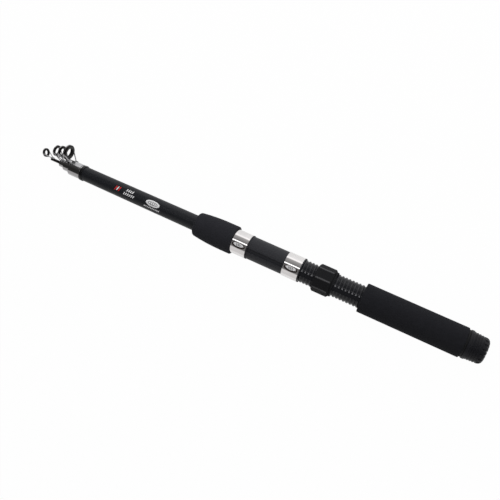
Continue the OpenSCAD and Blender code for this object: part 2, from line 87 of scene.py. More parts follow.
class Value:
    """A number socket in a shader, with the operators that the finishes use."""

    def __init__(self, graph: "Graph", socket: Socket) -> None:
        """Wraps a socket of a graph."""
        self.graph = graph
        self.socket = socket

    def _math(self, operation: str, first: "Value | float", second: "Value | float") -> "Value":
        """Result of one Math node."""
        made = self.graph.node("ShaderNodeMath", {"operation": operation}, {0: first, 1: second})
        return self.graph.out(made, "Value")

    def __add__(self, other: "Value | float") -> "Value":
        """Sum of two values."""
        return self._math("ADD", self, other)

    __radd__ = __add__

    def __sub__(self, other: "Value | float") -> "Value":
        """Difference of two values."""
        return self._math("SUBTRACT", self, other)

    def __rsub__(self, other: float) -> "Value":
        """Difference from a number."""
        return self._math("SUBTRACT", other, self)

    def __mul__(self, other: "Value | float") -> "Value":
        """Product of two values."""
        return self._math("MULTIPLY", self, other)

    __rmul__ = __mul__

    def __truediv__(self, other: "Value | float") -> "Value":
        """Quotient of two values."""
        return self._math("DIVIDE", self, other)

    def __rtruediv__(self, other: float) -> "Value":
        """Quotient of a number by this value."""
        return self._math("DIVIDE", other, self)

    def __lt__(self, other: "Value | float") -> "Value":
        """One where this value is the smaller, else nought."""
        return self._math("LESS_THAN", self, other)

    def __gt__(self, other: "Value | float") -> "Value":
        """One where this value is the larger, else nought."""
        return self._math("GREATER_THAN", self, other)

    def larger(self, other: "Value | float") -> "Value":
        """The larger of two values."""
        return self._math("MAXIMUM", self, other)

    def angle_from(self, other: "Value") -> "Value":
        """Angle of the point that has this value across and the other along."""
        return self._math("ARCTAN2", self, other)


Input = Value | Socket | float | Sequence[float]


class Graph:
    """The shader nodes of one material or of the world."""

    # A Mix node has several sockets of one name, so its colours go by their index.
    MIX_LOW: ClassVar[int] = 6
    MIX_HIGH: ClassVar[int] = 7
    MIX_RESULT: ClassVar[int] = 2

    def __init__(self, tree: bpy.types.NodeTree) -> None:
        """Empties a node tree and takes it over."""
        self.tree = tree
        tree.nodes.clear()

    def node(
        self, kind: str, settings: dict | None = None, inputs: dict | None = None
    ) -> bpy.types.ShaderNode:
        """Adds a node.

        Args:
            kind: Type name of the node.
            settings: Attributes to set first, and a ramp's stops under "stops".
            inputs: Values or links by socket name or index.

        Returns:
            The new node.
        """
        made = self.tree.nodes.new(kind)
        for name, setting in (settings or {}).items():
            if name == "stops":
                self._set_stops(made.color_ramp, setting)
            else:
                setattr(made, name, setting)
        for name, given in (inputs or {}).items():
            self.feed(made.inputs[name], given)
        return made

    def feed(self, socket: Socket, given: Input) -> None:
        """Links a socket, or sets its own number, vector or colour.

        Args:
            socket: Input socket.
            given: A value, an output socket, a number, a vector or a colour.
        """
        if isinstance(given, Value):
            self.tree.links.new(given.socket, socket)
        elif isinstance(given, Socket):
            self.tree.links.new(given, socket)
        elif socket.type == "RGBA":
            socket.default_value = (*given, 1)
        else:
            socket.default_value = given

    def out(self, node: bpy.types.ShaderNode, name: str) -> Value:
        """One output of a node as a value."""
        return Value(self, node.outputs[name])

    @staticmethod
    def _set_stops(ramp: bpy.types.ColorRamp, stops: Sequence[tuple[float, Colour]]) -> None:
        """Gives a ramp its stops.

        Args:
            ramp: Ramp of a node.
            stops: Place and colour of each stop, in order of place.
        """
        while len(ramp.elements) < len(stops):
            ramp.elements.new(1.0)
        for element, (place, colour) in zip(ramp.elements, stops):
            element.position = place
            element.color = (*colour, 1.0)

    def place(self, stretch: Sequence[float] = EVEN) -> Socket:
        """Object coordinates, stretched along each axis.

        Args:
            stretch: Scale along X, Y and Z.

        Returns:
            The vector socket.
        """
        coords = self.node("ShaderNodeTexCoord")
        mapped = self.node("ShaderNodeMapping", inputs={"Vector": coords.outputs["Object"], "Scale": stretch})
        return mapped.outputs["Vector"]

    def noise(self, grain: float, detail: float = 2.0, stretch: Sequence[float] = EVEN) -> Value:
        """Noise about 0.5 of a given grain in metres, with finer octaves and a scale along each axis."""
        given = {"Vector": self.place(stretch), "Scale": 1 / grain, "Detail": detail}
        return self.out(self.node("ShaderNodeTexNoise", inputs=given), "Fac")

    def cells(self, grain: float) -> Value:
        """Distance to the nearest point of a pattern of cells of a given size."""
        given = {"Vector": self.place(), "Scale": 1 / grain}
        return self.out(self.node("ShaderNodeTexVoronoi", inputs=given), "Distance")

    def rise(self, value: Value, start: float, stop: float) -> Value:
        """Share of the way that a value has gone from one level to another, from 0 to 1."""
        given = {"Value": value, "From Min": start, "From Max": stop}
        return self.out(self.node("ShaderNodeMapRange", {"clamp": True}, given), "Result")

    def blend(self, share: Value, low: Colour | Socket, high: Colour | Socket) -> Socket:
        """A colour between two others, some share of the way from the first to the second."""
        given = {"Factor": share, self.MIX_LOW: low, self.MIX_HIGH: high}
        return self.node("ShaderNodeMix", {"data_type": "RGBA"}, given).outputs[self.MIX_RESULT]

    def bump(self, height: Value, depth: float, strength: float) -> Socket:
        """A normal bumped by a height pattern of a given depth in metres."""
        given = {"Height": height, "Distance": depth, "Strength": strength}
        return self.node("ShaderNodeBump", inputs=given).outputs["Normal"]


@dataclass(frozen=True)
class Finish:
    """A surface finish: what is the same all over, and methods for what varies."""

    name: str
    colour: Colour
    roughness: float
    metallic: float = 0.0
    coat: float = 0.0
    coat_roughness: float = 0.05
    specular: float = 0.5
    sheen: float = 0.0
    darkest: float = 0.9
    lightest: float = 1.06
    gloss_range: float = 0.1
    made: ClassVar[dict[str, bpy.types.Material]] = {}

    def material(self) -> bpy.types.Material:
        """The finish as a material, made once.

        Returns:
            The material.
        """
        if self.name not in Finish.made:
            Finish.made[self.name] = self._build()
        return Finish.made[self.name]

    def _build(self) -> bpy.types.Material:
        """Makes the material with its even values, then adds what varies.

        Returns:
            The material.
        """
        material = bpy.data.materials.new(self.name)
        material.use_nodes = True
        graph = Graph(material.node_tree)
        shader = graph.node("ShaderNodeBsdfPrincipled", inputs={
            "Base Color": self.colour,
            "Roughness": self.roughness,
            "Metallic": self.metallic,
            "Coat Weight": self.coat,
            "Coat Roughness": self.coat_roughness,
            "Specular IOR Level": self.specular,
            "Sheen Weight": self.sheen,
        })
        graph.node("ShaderNodeOutputMaterial", inputs={"Surface": shader.outputs["BSDF"]})
        for socket, given in self.varies(graph).items():
            graph.feed(shader.inputs[socket], given)
        material.diffuse_color = (*self.colour, 1)
        return material

    def varies(self, graph: Graph) -> dict[str, Input]:
        """What changes over the surface, by shader socket."""
        return {}

    def tone(self, graph: Graph, pattern: Value) -> Socket:
        """The finish's own colour, from its darkest to its lightest by a pattern."""
        dark, light = [tuple(c * by for c in self.colour) for by in (self.darkest, self.lightest)]
        return graph.blend(pattern, dark, light)

    def gloss(self, pattern: Value) -> Value:
        """Roughness that goes up and down about its even value by a pattern."""
        return self.roughness + self.gloss_range * (pattern - 0.5)


@dataclass(frozen=True)
class SatinCoat(Finish):
    """Sprayed satin coat of the blank, with the faint pull of its sanding along the tube."""

    darkest: float = 0.88
    lightest: float = 1.14
    gloss_range: float = 0.12
    grain: float = 0.35 * MM
    grain_depth: float = 0.006 * MM
    grain_strength: float = 0.6
    streak: float = 14 * MM
    streak_stretch: Sequence[float] = (0.05, 4, 4)

    def varies(self, graph: Graph) -> dict[str, Input]:
        """Fine orange peel, and streaks in the gloss along the tube.

        Args:
            graph: Nodes of the material.

        Returns:
            What varies, by shader socket.
        """
        peel = graph.noise(self.grain, detail=3)
        streaks = graph.noise(self.streak, detail=4, stretch=self.streak_stretch)
        return {
            "Base Color": self.tone(graph, streaks),
            "Roughness": self.gloss(streaks),
            "Normal": graph.bump(peel, self.grain_depth, self.grain_strength),
        }


@dataclass(frozen=True)
class Foam(Finish):
    """Ground closed-cell foam: fine open pores over a slightly mottled matt black."""

    darkest: float = 0.72
    lightest: float = 1.3
    pore: float = 0.42 * MM
    pore_slope: float = 2.2
    pore_middle: float = 0.35
    pore_roughness: float = 0.08
    pore_depth: float = 0.05 * MM
    pore_strength: float = 0.7
    pore_share: float = 0.6
    mottle: float = 5 * MM
    mottle_share: float = 0.55

    def varies(self, graph: Graph) -> dict[str, Input]:
        """Pores sunk in the ground face, and a soft mottle.

        Args:
            graph: Nodes of the material.

        Returns:
            What varies, by shader socket.
        """
        pores = graph.cells(self.pore)
        fine = graph.noise(self.pore / 2, detail=3)
        mottle = graph.noise(self.mottle, detail=3)
        open_pore = 1 - (pores * self.pore_slope).larger(self.pore_middle)
        shade = self.mottle_share * mottle + (1 - self.mottle_share) * fine
        height = self.pore_share * pores + (1 - self.pore_share) * fine
        return {
            "Base Color": self.tone(graph, shade),
            "Roughness": self.roughness + self.pore_roughness * open_pore,
            "Normal": graph.bump(height, self.pore_depth, self.pore_strength),
        }


@dataclass(frozen=True)
class Moulding(Finish):
    """Moulded plastic, with slight waviness and finger marks in its gloss."""

    darkest: float = 0.85
    lightest: float = 1.18
    wave: float = 9 * MM
    wave_share: float = 0.5
    spark: float = 0.25 * MM
    texture: float = 0.0
    texture_depth: float = 0.012 * MM
    texture_strength: float = 0.5

    def varies(self, graph: Graph) -> dict[str, Input]:
        """Uneven gloss, and a fine spark texture where the mould has one.

        Args:
            graph: Nodes of the material.

        Returns:
            What varies, by shader socket.
        """
        marks = graph.noise(self.wave, detail=4)
        height = self.wave_share * marks + self.texture * graph.noise(self.spark)
        return {
            "Base Color": self.tone(graph, marks),
            "Roughness": self.gloss(marks),
            "Normal": graph.bump(height, self.texture_depth, self.texture_strength),
        }


@dataclass(frozen=True)
class RubbedAndHighlit(Moulding):
    """Moulded plastic whose corners are pale: partly rubbed by handling, partly a painted highlight along
    each corner.
    """

    mark: str = "wear_and_highlight"
    rubbed_and_highlight: Colour = (0.13, 0.13, 0.135)
    patch: float = 1.2 * MM
    patch_least: float = 0.55
    patch_range: float = 0.7

    def tone(self, graph: Graph, pattern: Value) -> Socket:
        """One colour whatever the pattern, with pale corners where the mesh is marked: partly wear, partly
        painted highlight.

        Args:
            graph: Nodes of the material.
            pattern: Pattern of the gloss.

        Returns:
            The colour socket.
        """
        wear_and_highlight = graph.out(graph.node("ShaderNodeAttribute", {"attribute_name": self.mark}), "Fac")
        patchy = wear_and_highlight * (self.patch_least + self.patch_range * graph.noise(self.patch))
        return graph.blend(patchy, self.colour, self.rubbed_and_highlight)


@dataclass(frozen=True)
class Crested(Moulding):
    """Moulded thread with pale crests: partly rubbed by the nut, and a painted highlight where the crests end
    at one edge of the keyway.
    """

    pale_crest_from: float = 11.15 * MM
    pale_crest_to: float = 11.4 * MM
    keyway_edge: float = 2 * MM
    painted_glint_reach: float = 2.2 * MM
    pale_round_share: float = 0.06
    rubbed_and_highlight: Colour = (0.3, 0.3, 0.315)

    def tone(self, graph: Graph, pattern: Value) -> Socket:
        """One colour whatever the pattern, with pale crests, palest where they end at one edge of the keyway,
        where the paleness is a painted highlight.

        Args:
            graph: Nodes of the material.
            pattern: Pattern of the gloss.

        Returns:
            The colour socket.
        """
        place = graph.node("ShaderNodeSeparateXYZ", inputs={0: graph.place()})
        across, above = graph.out(place, "Y"), graph.out(place, "Z")
        radius = graph.node("ShaderNodeVectorMath", {"operation": "LENGTH"}, {0: graph.place((0, 1, 1))})
        crest = graph.rise(graph.out(radius, "Value"), self.pale_crest_from, self.pale_crest_to)
        end = graph.rise(across, -self.keyway_edge - self.painted_glint_reach, -self.keyway_edge)
        # Only at the keyway's edge on the -Y side, above the axis: a painted highlight at the crest ends.
        end = end * (across < 0) * (above > 0)
        wear_and_highlight = crest * (self.pale_round_share + (1 - self.pale_round_share) * end)
        return graph.blend(wear_and_highlight, self.colour, self.rubbed_and_highlight)


@dataclass(frozen=True)
class Polished(Finish):
    """Polished or drawn metal, with hairlines that run round or along the piece."""

    lightest: float = 1.04
    hairline: float = 0.5 * MM
    along: Sequence[float] = (6, 0.4, 0.4)
    tarnish: float = 7 * MM

    def varies(self, graph: Graph) -> dict[str, Input]:
        """Hairlines in the gloss, and a faint tarnish.

        Args:
            graph: Nodes of the material.

        Returns:
            What varies, by shader socket.
        """
        lines = graph.noise(self.hairline, stretch=self.along)
        tarnish = graph.noise(self.tarnish, detail=3)
        return {
            "Base Color": self.tone(graph, tarnish),
            "Roughness": self.roughness + self.gloss_range * (lines * tarnish),
        }


@dataclass(frozen=True)
class Ink(Finish):
    """Printed ink or enamel, a little thin in places."""

    grain: float = 0.5 * MM

    def varies(self, graph: Graph) -> dict[str, Input]:
        """Slightly uneven cover."""
        cover = graph.noise(self.grain)
        return {"Base Color": self.tone(graph, cover), "Roughness": self.roughness + self.gloss_range * cover}


BLANK_COAT = SatinCoat("blank_satin_coat", (0.0125, 0.0133, 0.0163), 0.42, specular=0.28)
WRAP_GLOSS = Moulding("mouth_wrap_gloss", (0.006, 0.006, 0.007), 0.24, coat=0.15, specular=0.3)
GRIP_FOAM = Foam("grip_foam", (0.0145, 0.0149, 0.018), 0.9, specular=0.14, sheen=0.02)
# The foregrip's foam is the rear grip's foam made lighter: painted light, where the light falls stronger.
FORE_FOAM_PAINTED_LIGHTER = Foam("fore_foam_painted_lighter", (0.0222, 0.0226, 0.0272), 0.9, specular=0.14, sheen=0.02)
SEAT_GLOSS = Moulding("seat_satin", (0.0255, 0.0262, 0.031), 0.46, specular=0.25)
# The barrel's crests are painted pale: a little wear all round, and a painted highlight at their ends by the
# keyway.
BARREL_GLOSS = Crested("barrel_gloss", (0.0128, 0.0133, 0.016), 0.16, specular=0.26)
# The nut's corners are painted pale: partly wear, partly a painted highlight.
NUT_MATT = RubbedAndHighlit("nut_matt", (0.0155, 0.0157, 0.017), 0.5, texture=0.3, specular=0.03)
CAP_GLOSS = Moulding("cap_semi_gloss", (0.0125, 0.0127, 0.0155), 0.4, texture=0.6, specular=0.2)
CAP_RUBBER = Moulding("cap_rubber", (0.011, 0.011, 0.012), 0.62, texture=0.8, specular=0.25)
BRIGHT_METAL = Polished("polished_sleeve", (0.95, 0.93, 0.925), 0.06, 1.0, gloss_range=0.06)
COLLAR_METAL = Polished("dark_chrome_collar", (0.5, 0.495, 0.5), 0.08, 1.0, gloss_range=0.08)
SOCKET_METAL = Polished("turned_socket", (0.48, 0.48, 0.5), 0.3, 1.0, along=(12, 0.3, 0.3))
GUIDE_STEEL = Polished("drawn_steel", (0.6, 0.6, 0.615), 0.18, 1.0, along=EVEN, gloss_range=0.2)
SMOKED_STEEL = Polished("smoked_steel", (0.05, 0.045, 0.044), 0.26, 1.0, along=EVEN, gloss_range=0.2)
HARD_RING = Moulding("polished_hard_ring", (0.006, 0.006, 0.0065), 0.2, specular=0.3)
PRINT_WHITE = Ink("print_white", (0.86, 0.86, 0.87), 0.5)
PRINT_RED = Ink("print_red", (0.66, 0.012, 0.016), 0.45)
PLAQUE_EDGE = Ink("plaque_enamel", (0.028, 0.02, 0.018), 0.3)
PLAQUE_FACE = Ink("plaque_silver", (0.82, 0.82, 0.83), 0.35)


@dataclass(frozen=True)
class Span:
    """A stretch of the rod, and the outer radius there."""

    rear: float
    front: float
    radius: float

    @classmethod
    def of(cls, node: str) -> "Span":
        """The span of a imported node."""
        low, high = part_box(node)
        return cls(low.x, high.x, max(high.y, -low.y))

    @property
    def length(self) -> float:
        """Length along the rod."""
        return self.front - self.rear


@dataclass(frozen=True)
class Taper:
    """The outside of the blank, which narrows evenly from the butt to the mouth."""

    rear_radius: float = 9.3 * MM
    front_radius: float = 7.7 * MM
    blank: Span = Span.of("butt_blank")

    def radius_at(self, x: float) -> float:
        """Radius of the blank at a station."""
        share = (x - self.blank.rear) / self.blank.length
        return self.rear_radius + (self.front_radius - self.rear_radius) * share


def angle_round(point: Vector) -> float:
    """Angle of a point about the rod's axis, from the keyway side."""
    return math.atan2(-point.y, point.z)


def radius_round(point: Vector) -> float:
    """Distance of a point from the rod's axis."""
    return math.hypot(point.y, point.z)


def set_polar(point: Vector, radius: float, angle: float) -> None:
    """Moves a point to a radius and an angle about the rod's axis."""
    point.y = -radius * math.sin(angle)
    point.z = radius * math.cos(angle)


def face_outwards(mesh: Mesh) -> None:
    """Turns all faces outwards."""
    bmesh.ops.recalc_face_normals(mesh, faces=mesh.faces)


def tidy(mesh: Mesh, reach: float = DOUBLED) -> None:
    """Merges points that are nearer than a reach, then turns all faces outwards."""
    bmesh.ops.remove_doubles(mesh, verts=mesh.verts, dist=reach)
    face_outwards(mesh)


def arc(x: float, r: float, radius: float, start: float, end: float, steps: int = 8) -> Outline:
    """Points of an arc in an outline.

    Args:
        x: Station of its centre.
        r: Distance of its centre from the axis.
        radius: Radius of the arc.
        start: First angle in degrees: 0 is outwards, 90 is towards the tip.
        end: Last angle in degrees.
        steps: Steps in the arc.

    Returns:
        Station and distance from the axis of each point.
    """
    swings = [math.radians(start + (end - start) * i / steps) for i in range(steps + 1)]
    return [(x + radius * math.sin(a), r + radius * math.cos(a)) for a in swings]


def turn(outline: Outline, steps: int = STEPS, closed: bool = True) -> Mesh:
    """Turns an outline about the rod's axis.

    Args:
        outline: Station and radius of each corner, in order.
        steps: Steps in a full turn.
        closed: Whether the last corner is joined to the first.

    Returns:
        The turned solid.
    """
    mesh = bmesh.new()
    corners = [mesh.verts.new((x, 0, r)) for x, r in outline]
    following = corners[1:] + corners[:1] if closed else corners[1:]
    sides = [mesh.edges.new(pair) for pair in zip(corners, following)]
    bmesh.ops.spin(
        mesh, geom=corners + sides, cent=ORIGIN, axis=AXIS, angle=FULL_TURN, steps=steps, use_merge=True
    )
    tidy(mesh)
    return mesh


def tube_outline(span: Span, bore: float) -> Outline:
    """Outline of a plain ring with a bore."""
    return [(span.rear, bore), (span.rear, span.radius), (span.front, span.radius), (span.front, bore)]


def soften(
    mesh: Mesh, by: float, segments: int = 3, chosen: Callable[[Vector], bool] | None = None, over: float = 25
) -> None:
    """Rounds sharp edges.

    Args:
        mesh: Mesh to change.
        by: Width of the rounding.
        segments: Steps in the rounding.
        chosen: Test of an edge's middle, or None for every sharp edge.
        over: Turn in degrees past which an edge is sharp.
    """
    edges = [e for e in mesh.edges if e.is_manifold and e.calc_face_angle() > math.radians(over)]
    if chosen:
        edges = [e for e in edges if chosen((e.verts[0].co + e.verts[1].co) / 2)]
    bmesh.ops.bevel(
        mesh, geom=edges, offset=by, offset_type="OFFSET", affect="EDGES", segments=segments, profile=0.5,
        material=-1, clamp_overlap=True,
    )


def of_kind(parts: Iterable, kind: type) -> list:
    """The parts of one kind among those that an operator gave back."""
    return [part for part in parts if isinstance(part, kind)]


def extruded(mesh: Mesh, edges: Sequence[bmesh.types.BMEdge]) -> tuple[list, list]:
    """Extrudes edges, with their new points still on the old ones.

    Args:
        mesh: Mesh to change.
        edges: Edges to extrude.

    Returns:
        The new points, and the new edges between them.
    """
    grown = bmesh.ops.extrude_edge_only(mesh, edges=edges)["geom"]
    points = of_kind(grown, bmesh.types.BMVert)
    return points, [e for e in of_kind(grown, bmesh.types.BMEdge) if all(v in points for v in e.verts)]


def sweep(mesh: Mesh, path: Sequence[Vector], radius: float, sides: int = 12) -> None:
    """Draws a round wire along a path, with closed ends.

    Args:
        mesh: Mesh to add the wire to.
        path: Points of the wire's middle.
        radius: Radius of the wire.
        sides: Sides of the wire.
    """
    heading = (path[1] - path[0]).normalized()
    turned = heading.to_track_quat("Z", "Y")
    start = Matrix.Translation(path[0]) @ turned.to_matrix().to_4x4()
    made = bmesh.ops.create_circle(mesh, cap_ends=True, radius=radius, segments=sides, matrix=start)
    loop = list(dict.fromkeys(e for v in made["verts"] for e in v.link_edges))
    for here, there, beyond in zip(path, path[1:], [*path[2:], 2 * path[-1] - path[-2]]):
        points, loop = extruded(mesh, loop)
        bmesh.ops.translate(mesh, verts=points, vec=there - here)
        next_heading = ((beyond - there).normalized() + (there - here).normalized()).normalized()
        swing = heading.rotation_difference(next_heading).to_matrix()
        bmesh.ops.rotate(mesh, verts=points, cent=there, matrix=swing)
        heading = next_heading
    bmesh.ops.contextual_create(mesh, geom=loop)


def bend(*knots: Vector, steps: int = 6) -> list[Vector]:
    """A path through two straight runs with a smooth bend between them.

    Args:
        knots: Start, start of the bend, corner, end of the bend, end.
        steps: Points in the bend.

    Returns:
        Points of the path.
    """
    start, into, corner, out_of, end = knots
    return [start, *interpolate_bezier(into, corner, corner, out_of, steps), end]


# A thread's ridge: its width as a share of the pitch, and a flank in shares of the pitch and the depth.
RIDGE_WIDTH = 0.74
RIDGE_FLANK = ((0.0, 0.0), (0.05, 0.2), (0.12, 0.72), (0.2, 0.94), (0.3, 1.0))


def threaded(span: Span, pitch: float, depth: float, steps: int) -> Mesh:
    """A rod with a right-hand screw thread, open at both ends.

    Args:
        span: Its ends, and the radius of its crests.
        pitch: Advance in one turn.
        depth: Height of the crests over the groove.
        steps: Steps in a turn.

    Returns:
        The threaded skin.
    """
    far_flank = [(RIDGE_WIDTH - share, height) for share, height in reversed(RIDGE_FLANK)]
    root = span.radius - depth
    # One turn more at each end is cut off below.
    turns = math.ceil(span.length / pitch) + 2
    mesh = bmesh.new()
    corners = [
        mesh.verts.new((span.rear + (i - 1 + share) * pitch, 0, -root - height * depth))
        for i in range(turns) for share, height in (*RIDGE_FLANK, *far_flank)
    ]
    sides = [mesh.edges.new(pair) for pair in zip(corners, corners[1:])]
    bmesh.ops.spin(
        mesh, geom=corners + sides, cent=ORIGIN, axis=AXIS, angle=FULL_TURN, steps=steps,
        dvec=(pitch / steps, 0, 0),
    )
    tidy(mesh, 10 * DOUBLED)
    for station, outwards in ((span.rear, -AXIS), (span.front, AXIS)):
        bmesh.ops.bisect_plane(
            mesh, geom=mesh.verts[:] + mesh.edges[:] + mesh.faces[:], plane_co=(station, 0, 0),
            plane_no=outwards, clear_outer=True, dist=DOUBLED,
        )
    return mesh


def close_to_bore(mesh: Mesh, bore: float) -> None:
    """Closes the two open ends of a turned skin with end faces and a bore.

    Args:
        mesh: Skin with two open round ends.
        bore: Radius of the bore.
    """
    points, inner = extruded(mesh, [e for e in mesh.edges if e.is_boundary])
    for point in points:
        set_polar(point.co, bore, angle_round(point.co))
    bmesh.ops.bridge_loops(mesh, edges=inner)
    face_outwards(mesh)


def sheet(length: float, width: float, columns: int, rows: int) -> Mesh:
    """A flat rectangle about the origin, in small faces.

    Args:
        length: Size along X.
        width: Size along Y.
        columns: Faces along X.
        rows: Faces along Y.

    Returns:
        The rectangle.
    """
    mesh = bmesh.new()
    bmesh.ops.create_grid(mesh, x_segments=columns, y_segments=rows, size=1.0)
    bmesh.ops.scale(mesh, vec=(length / 2, width / 2, 1), verts=mesh.verts)
    return mesh


def oval(length: float, width: float) -> Mesh:
    """A flat oval about the origin, in small faces.

    Args:
        length: Size along X.
        width: Size along Y.

    Returns:
        The oval.
    """
    mesh = sheet(2, 2, 28, 14)
    for point in mesh.verts:
        x, y = point.co.x, point.co.y
        point.co.x = length / 2 * x * math.sqrt(1 - y * y / 2)
        point.co.y = width / 2 * y * math.sqrt(1 - x * x / 2)
    return mesh


def strokes(count: int, step: float, size: tuple[float, float], slant: float) -> Mesh:
    """A row of plain slanted strokes about the origin.

    Args:
        count: Number of strokes.
        step: Distance from one stroke to the next.
        size: Length of each stroke along X, and along Y.
        slant: Shift along X for each step along Y.

    Returns:
        The row.
    """
    row = [sheet(*size, 4, 6) for _ in range(count)]
    for i, mesh in enumerate(row):
        for point in mesh.verts:
            point.co.x += (i - (count - 1) / 2) * step + slant * point.co.y
    return join(*row)


def join(*meshes: Mesh) -> Mesh:
    """Puts several meshes into one, and frees them.

    Args:
        meshes: Meshes to join.

    Returns:
        The joined mesh.
    """
    joined = bmesh.new()
    for mesh in meshes:
        carrier = to_data(mesh, "carrier")
        joined.from_mesh(carrier)
        bpy.data.meshes.remove(carrier)
    return joined


def wrap(mesh: Mesh, station: float, radius_at: Callable[[float], float], turned: float) -> None:
    """Wraps a flat shape round the rod: X runs along the rod, and Y round it.

    Args:
        mesh: Flat shape about the origin.
        station: Where its middle goes along the rod.
        radius_at: Radius of the surface at a station.
        turned: Angle of its middle about the rod, from the keyway side.
    """
    for point in mesh.verts:
        x = station + point.co.x
        radius = radius_at(x)
        angle = turned + point.co.y / radius
        point.co.x = x
        set_polar(point.co, radius, angle)


def thicken(mesh: Mesh, thickness: float) -> None:
    """Gives a wrapped sheet a thickness towards the rod.

    Args:
        mesh: Sheet wrapped round the rod.
        thickness: Thickness of the sheet.
    """
    face_outwards(mesh)
    middles = [(face, face.calc_center_median()) for face in mesh.faces]
    if sum(face.normal.dot(Vector((0, middle.y, middle.z))) for face, middle in middles) < 0:
        bmesh.ops.reverse_faces(mesh, faces=mesh.faces)
    bmesh.ops.solidify(mesh, geom=mesh.faces[:], thickness=thickness)
    face_outwards(mesh)


def to_data(mesh: Mesh, name: str) -> bpy.types.Mesh:
    """Writes a mesh to new mesh data, and frees it.

    Args:
        mesh: Mesh to write.
        name: Name of the data.

    Returns:
        The mesh data.
    """
    data = bpy.data.meshes.new(name)
    mesh.to_mesh(data)
    mesh.free()
    return data


def add(name: str, data: bpy.types.ID) -> bpy.types.Object:
    """Adds an object to the scene.

    Args:
        name: Name of the object.
        data: Its mesh, light or camera.

    Returns:
        The object.
    """
    made = bpy.data.objects.new(name, data)
    bpy.context.scene.collection.objects.link(made)
    return made


def piece(
    mesh: Mesh,
    name: str,
    body: str,
    finish: Finish,
    stands_for: Sequence[str] = (),
    crease: float = 38,
) -> bpy.types.Object:
    """Makes a finished mesh a piece that rides on a body.

    Args:
        mesh: Finished mesh, which is freed.
        name: Name of the piece.
        body: Body that it rides on.
        finish: Its finish.
        stands_for: Nodes that it replaces.
        crease: Turn in degrees past which an edge stays sharp.

    Returns:
        The piece.
    """
    data = to_data(mesh, name)
    data.shade_smooth()
    data.set_sharp_from_angle(angle=math.radians(crease))
    data.materials.append(finish.material())
    made = add(name, data)
    shading = made.modifiers.new("even_shading", "WEIGHTED_NORMAL")
    shading.mode = "FACE_AREA"
    shading.keep_sharp = True
    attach(made, body)
    if stands_for:
        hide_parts(*stands_for)
    log.info("%s rides on %s: %d faces", name, body, len(data.polygons))
    return made


def dress(node: str, finish: Finish) -> None:
    """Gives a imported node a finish.

    Args:
        node: Name of the node.
        finish: Its finish.
    """
    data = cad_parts[node].data
    data.materials.clear()
    data.materials.append(finish.material())
    log.info("%s is dressed in %s", node, finish.name)


@dataclass
class Grips:
    """The two foam grips."""

    edge: float = 0.8 * MM
    nose_edge: float = 2.4 * MM
    nose_radius: float = 12.6 * MM
    curve: float = 32 * MM
    curve_steps: int = 24
    glue_gap: float = 0.04 * MM
    rear: Span = Span.of("rear_grip")
    fore: Span = Span.of("foregrip")
    barrel: Span = Span.of("threaded_barrel")
    taper: Taper = Taper()

    def build(self) -> None:
        """Makes both grips."""
        self._dress(self._rear_outline(), "rear_grip_foam", "rear_grip", GRIP_FOAM)
        # The foregrip gets a lighter copy of the grip foam: painted light.
        self._dress(self._fore_outline(), "foregrip_foam", "foregrip", FORE_FOAM_PAINTED_LIGHTER)

    def _rear_outline(self) -> Outline:
        """Outline of the long grip, whose front end reaches over the barrel.

        Returns:
            Station and radius of each corner.
        """
        rear, front, step_at = self.rear.rear, self.rear.front, self.barrel.rear
        rim = self.rear.radius - self.edge
        wide_bore = self.barrel.radius + self.glue_gap
        return [
            (rear, self._bore(rear)),
            *arc(rear + self.edge, rim, self.edge, -90, 0),
            *arc(front - self.edge, rim, self.edge, 0, 90),
            (front, wide_bore), (step_at, wide_bore), (step_at, self._bore(step_at)),
        ]

    def _fore_outline(self) -> Outline:
        """Outline of the short grip, which narrows in a curve to its nose.

        Returns:
            Station and radius of each corner.
        """
        rear, front = self.fore.rear, self.fore.front
        return [
            (rear, self._bore(rear)),
            *arc(rear + self.edge, self.fore.radius - self.edge, self.edge, -90, 0),
            *[self._curved(i / self.curve_steps) for i in range(self.curve_steps)],
            *arc(front - self.nose_edge, self.nose_radius - self.nose_edge, self.nose_edge, 0, 90),
            (front, self._bore(front)),
        ]

    def _bore(self, x: float) -> float:
        """Radius of a grip's bore at a station."""
        return self.taper.radius_at(x) + self.glue_gap

    def _curved(self, share: float) -> tuple[float, float]:
        """A point of the foregrip's curved front.

        Args:
            share: How far along it is, from the start of the curve to the nose.

        Returns:
            Its station and radius.
        """
        start = self.fore.front - self.curve
        fall = (self.fore.radius - self.nose_radius) * share * share
        return start + share * (self.curve - self.nose_edge), self.fore.radius - fall

    @staticmethod
    def _dress(outline: Outline, name: str, node: str, foam: Foam) -> None:
        """Turns a grip from its outline, as a piece in the place of its node."""
        grip = piece(turn(outline, LARGE_STEPS), name, "handle", foam, [node])


